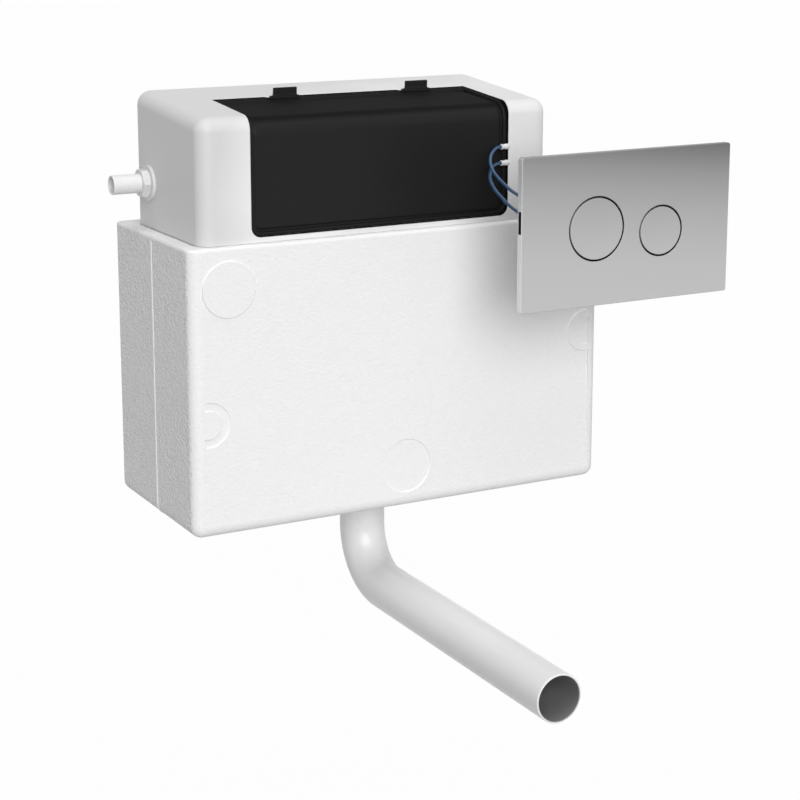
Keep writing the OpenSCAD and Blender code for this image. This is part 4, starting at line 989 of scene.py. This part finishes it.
tray = [tray_loop(*shape) for shape in (
    (0.9, PLATE_FACE, 1.1), (0.45, -109.88, 1.55), (0.12, -109.55, 1.88), (0, -109.1), (0, -108.9),
    (0, -108.85, 2.0, 1.5), (0, -104.15, 2.0, 1.5), (0, -104.1), (0, -103.3), (0.3, -103.0, 1.7),
    (2.5, -103.0, 0.9), (2.5, -107.0, 0.9))]
patches = [patch(tray, columns_close=True), flat_face(tray[0], PLATE_FACE, 0.5),
           flat_face(tray[-1], -107.0, 2.0)]
for x, z, r in WELLS.values():
    patches.append(patch([upright(circle(x, z, r + margin, 96), y) for margin, y in (
        (0.5, PLATE_FACE), (0.15, -109.85), (0, -109.5), (0, -103.2), (0.2, -103.0),
        (2.0, -103.0), (2.0, -107.0))], columns_close=True))
make_piece("plate_tray", patches, "cistern", "plate_satin", plate_paint_and_reflection, "plate_face")
# Painted shade: a black block just inside the pry slot stands for the slot's shadow.
slot_shade_block = upright([(54.5, 267.7), (54.5, 267.7), (54.5, 287.3), (54.5, 287.3)],
              [-108.8, -104.2, -104.2, -108.8])
make_piece("pry_slot_shade", rod([slot_shade_block, slot_shade_block + (0.9, 0, 0)]), "cistern", "black_plastic", liner_and_shade_black)
# Painted shade: a black ring down in each well's gap stands for the shadow in the gap.
for size, (x, z, r) in WELLS.items():
    gap_shade = turned([r - 0.9, r - 0.02, r - 0.02, r - 0.9], [-109.3, -109.3, -103.4, -103.4],
                   (x, 0, z), "y")
    make_piece(f"{size}_gap_shade_ring", [sleeve(gap_shade)], "cistern", "black_plastic", liner_and_shade_black)
print("wells:", len(WELLS))

# %% [markdown]
# ## The buttons
# Each button is a disc with a very shallow dish, so that a finger finds its middle. The dish
# is part of a large sphere, and the rim is rounded where it meets the gap.

# %% Two dished discs on their stems
GAP, DISH = 1.55, 0.6
for size, (x, z, well) in WELLS.items():
    r = well - GAP
    dish_r = np.linspace(0.0, r - 1.2, 12)
    dish_y = PLATE_FACE + DISH * (1 - (dish_r / r) ** 2)
    radius = np.concatenate([dish_r, [r - 0.7, r - 0.25, r, r, r - 0.3, 10, 10, 0]])
    height = np.concatenate([dish_y, [-109.98, -109.85, -109.4, -106.3, -106.0, -106, -101, -101]])
    cap = patch(turned(radius, height, (x, 0, z), "y", 128), columns_close=True)
    make_piece(f"{size}_button_cap", [cap], f"{size}_button", "plate_satin", plate_paint_and_reflection,
               f"{size}_flush_button")
print("gap round each button:", GAP, "mm")

# %% [markdown]
# ## The return springs
# Inside each pump a wire spring pushes the button back. In the CAD model it is a plain sleeve.
# Here a thin ring is carried along a helix, with closed turns at both ends as on a real one.

# %% A helix for each button
COILS, COIL_RADIUS, WIRE_RADIUS = 8, 10.1, 0.65
t = np.linspace(0, 1, 361)
turns = 2 * np.pi * COILS * t
along = -97.3 + 25.6 * (np.clip((t - 0.1) / 0.8, 0, 1) * 0.86 + 0.14 * t)
across, over = COIL_RADIUS * np.cos(turns), COIL_RADIUS * np.sin(turns)
for size, (x, z, _) in WELLS.items():
    helix = np.column_stack([x + across, along, z + over])
    wire = carried_ring(helix, WIRE_RADIUS, 10, upward=(0.0, 1.0, 0.0))
    spring = make_piece(f"{size}_return_spring", rod(wire), "cistern", "spring_steel", steel,
                        f"{size}_button_spring")
    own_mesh(spring)
print("coils in each spring:", COILS)

# %% [markdown]
# ## Pieces that keep their CAD shape
# The valves inside the tank, the seals and the pump housings are plain turned or moulded
# parts that the CAD model draws fully. They only need their finish.

# %% Dress the remaining CAD nodes
FINISHES = {
    part_white: ["fill_valve_body", "float_lever", "flush_valve_base", "flush_valve_cage"],
    nut_grey: ["actuator_head"],
    dark_grey: ["outlet_backnut", "full_piston", "half_piston"],
    valve_blue: ["fill_valve_cap", "overflow_tube"],
    float_blue: ["fill_float"],
    seal_black: ["inlet_seal", "outlet_gasket", "full_pump_plunger", "half_pump_plunger"],
    seal_red: ["flush_seal"],
    frame_dark: ["plate_frame"],
    pump_black: ["full_pump_housing", "half_pump_housing"],
    steel: ["lever_pin"],
}
for material, names in FINISHES.items():
    for name in names:
        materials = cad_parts[name].data.materials
        materials.clear()
        materials.append(material)
dressed = sum(FINISHES.values(), [])
hidden = [name for name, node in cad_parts.items() if node.hide_render]
print(len(dressed), "nodes dressed,", len(hidden), "replaced,", len(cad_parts), "in all")

# %% [markdown]
# ## Floor and light
# A product photograph on white has soft light from the front and above and a fill from all
# round. The world gives the fill, a wide key sun the direction, and a second sun the top
# light. The background's white is shown to the camera and to reflections only, so that it
# adds no light to the object.


# %% World, lamps and floor
WHITE = (1, 1, 1, 1)


def shown_white(tree, plain, output, share=1.0):
    """Camera, glossy and transmission rays see plain white; every other ray sees the plain
    shader. A share below 1 lets that much less of the white through."""
    rays = add_node(tree, "LightPath").outputs
    seen = worked_out(tree, "MAXIMUM", rays["Is Camera Ray"], rays["Is Glossy Ray"])
    seen = worked_out(tree, "MAXIMUM", seen, rays["Is Transmission Ray"])
    kind = "Background" if plain.bl_idname == "ShaderNodeBackground" else "Emission"
    white = add_node(tree, kind, {"Color": WHITE, "Strength": 1.0})
    mix = add_node(tree, "MixShader", {
        "Fac": worked_out(tree, "MULTIPLY", seen, share), 1: plain.outputs[0], 2: white.outputs[0]})
    tree.links.new(mix.outputs[0], output.inputs["Surface"])


world = bpy.data.worlds.new("Studio")
bpy.context.scene.world = world
world.use_nodes = True
fill = world.node_tree.nodes["Background"]
fill.inputs["Color"].default_value = WHITE
fill.inputs["Strength"].default_value = 0.29
shown_white(world.node_tree, fill, world.node_tree.nodes["World Output"])

for name, energy, spread, way in (("Key", 1.93, 42, (-0.275, -0.898, 0.342)),
                                  ("Overhead", 1.12, 50, (0.0, -0.2, 0.98))):
    lamp = bpy.data.objects.new(name, bpy.data.lights.new(name, "SUN"))
    lamp.data.energy = energy
    lamp.data.angle = np.radians(spread)
    lamp.matrix_world = Vector(way).to_track_quat("Z", "Y").to_matrix().to_4x4()
    bpy.context.scene.collection.objects.link(lamp)

FLOOR_HALF, FLOOR_Z = 14, -0.72
floor_corners = [(FLOOR_HALF * x, FLOOR_HALF * y, FLOOR_Z)
                 for x, y in ((-1, -1), (1, -1), (1, 1), (-1, 1))]
floor_mesh = bpy.data.meshes.new("floor")
floor_mesh.from_pydata(floor_corners, [], [(0, 1, 2, 3)])
floor = bpy.data.objects.new("floor", floor_mesh)
bpy.context.scene.collection.objects.link(floor)
floor_paint = bpy.data.materials.new("Pale floor")
floor_paint.use_nodes = True
floor_tree = floor_paint.node_tree
matt = floor_tree.nodes["Principled BSDF"]
matt.inputs["Base Color"].default_value = screen(178)
matt.inputs["Roughness"].default_value = 0.9
shown_white(floor_tree, matt, floor_tree.nodes["Material Output"], 0.98)
floor.data.materials.append(floor_paint)
bpy.context.scene.view_settings.view_transform = "Standard"
print("lamps:", [light.name for light in bpy.data.lights])
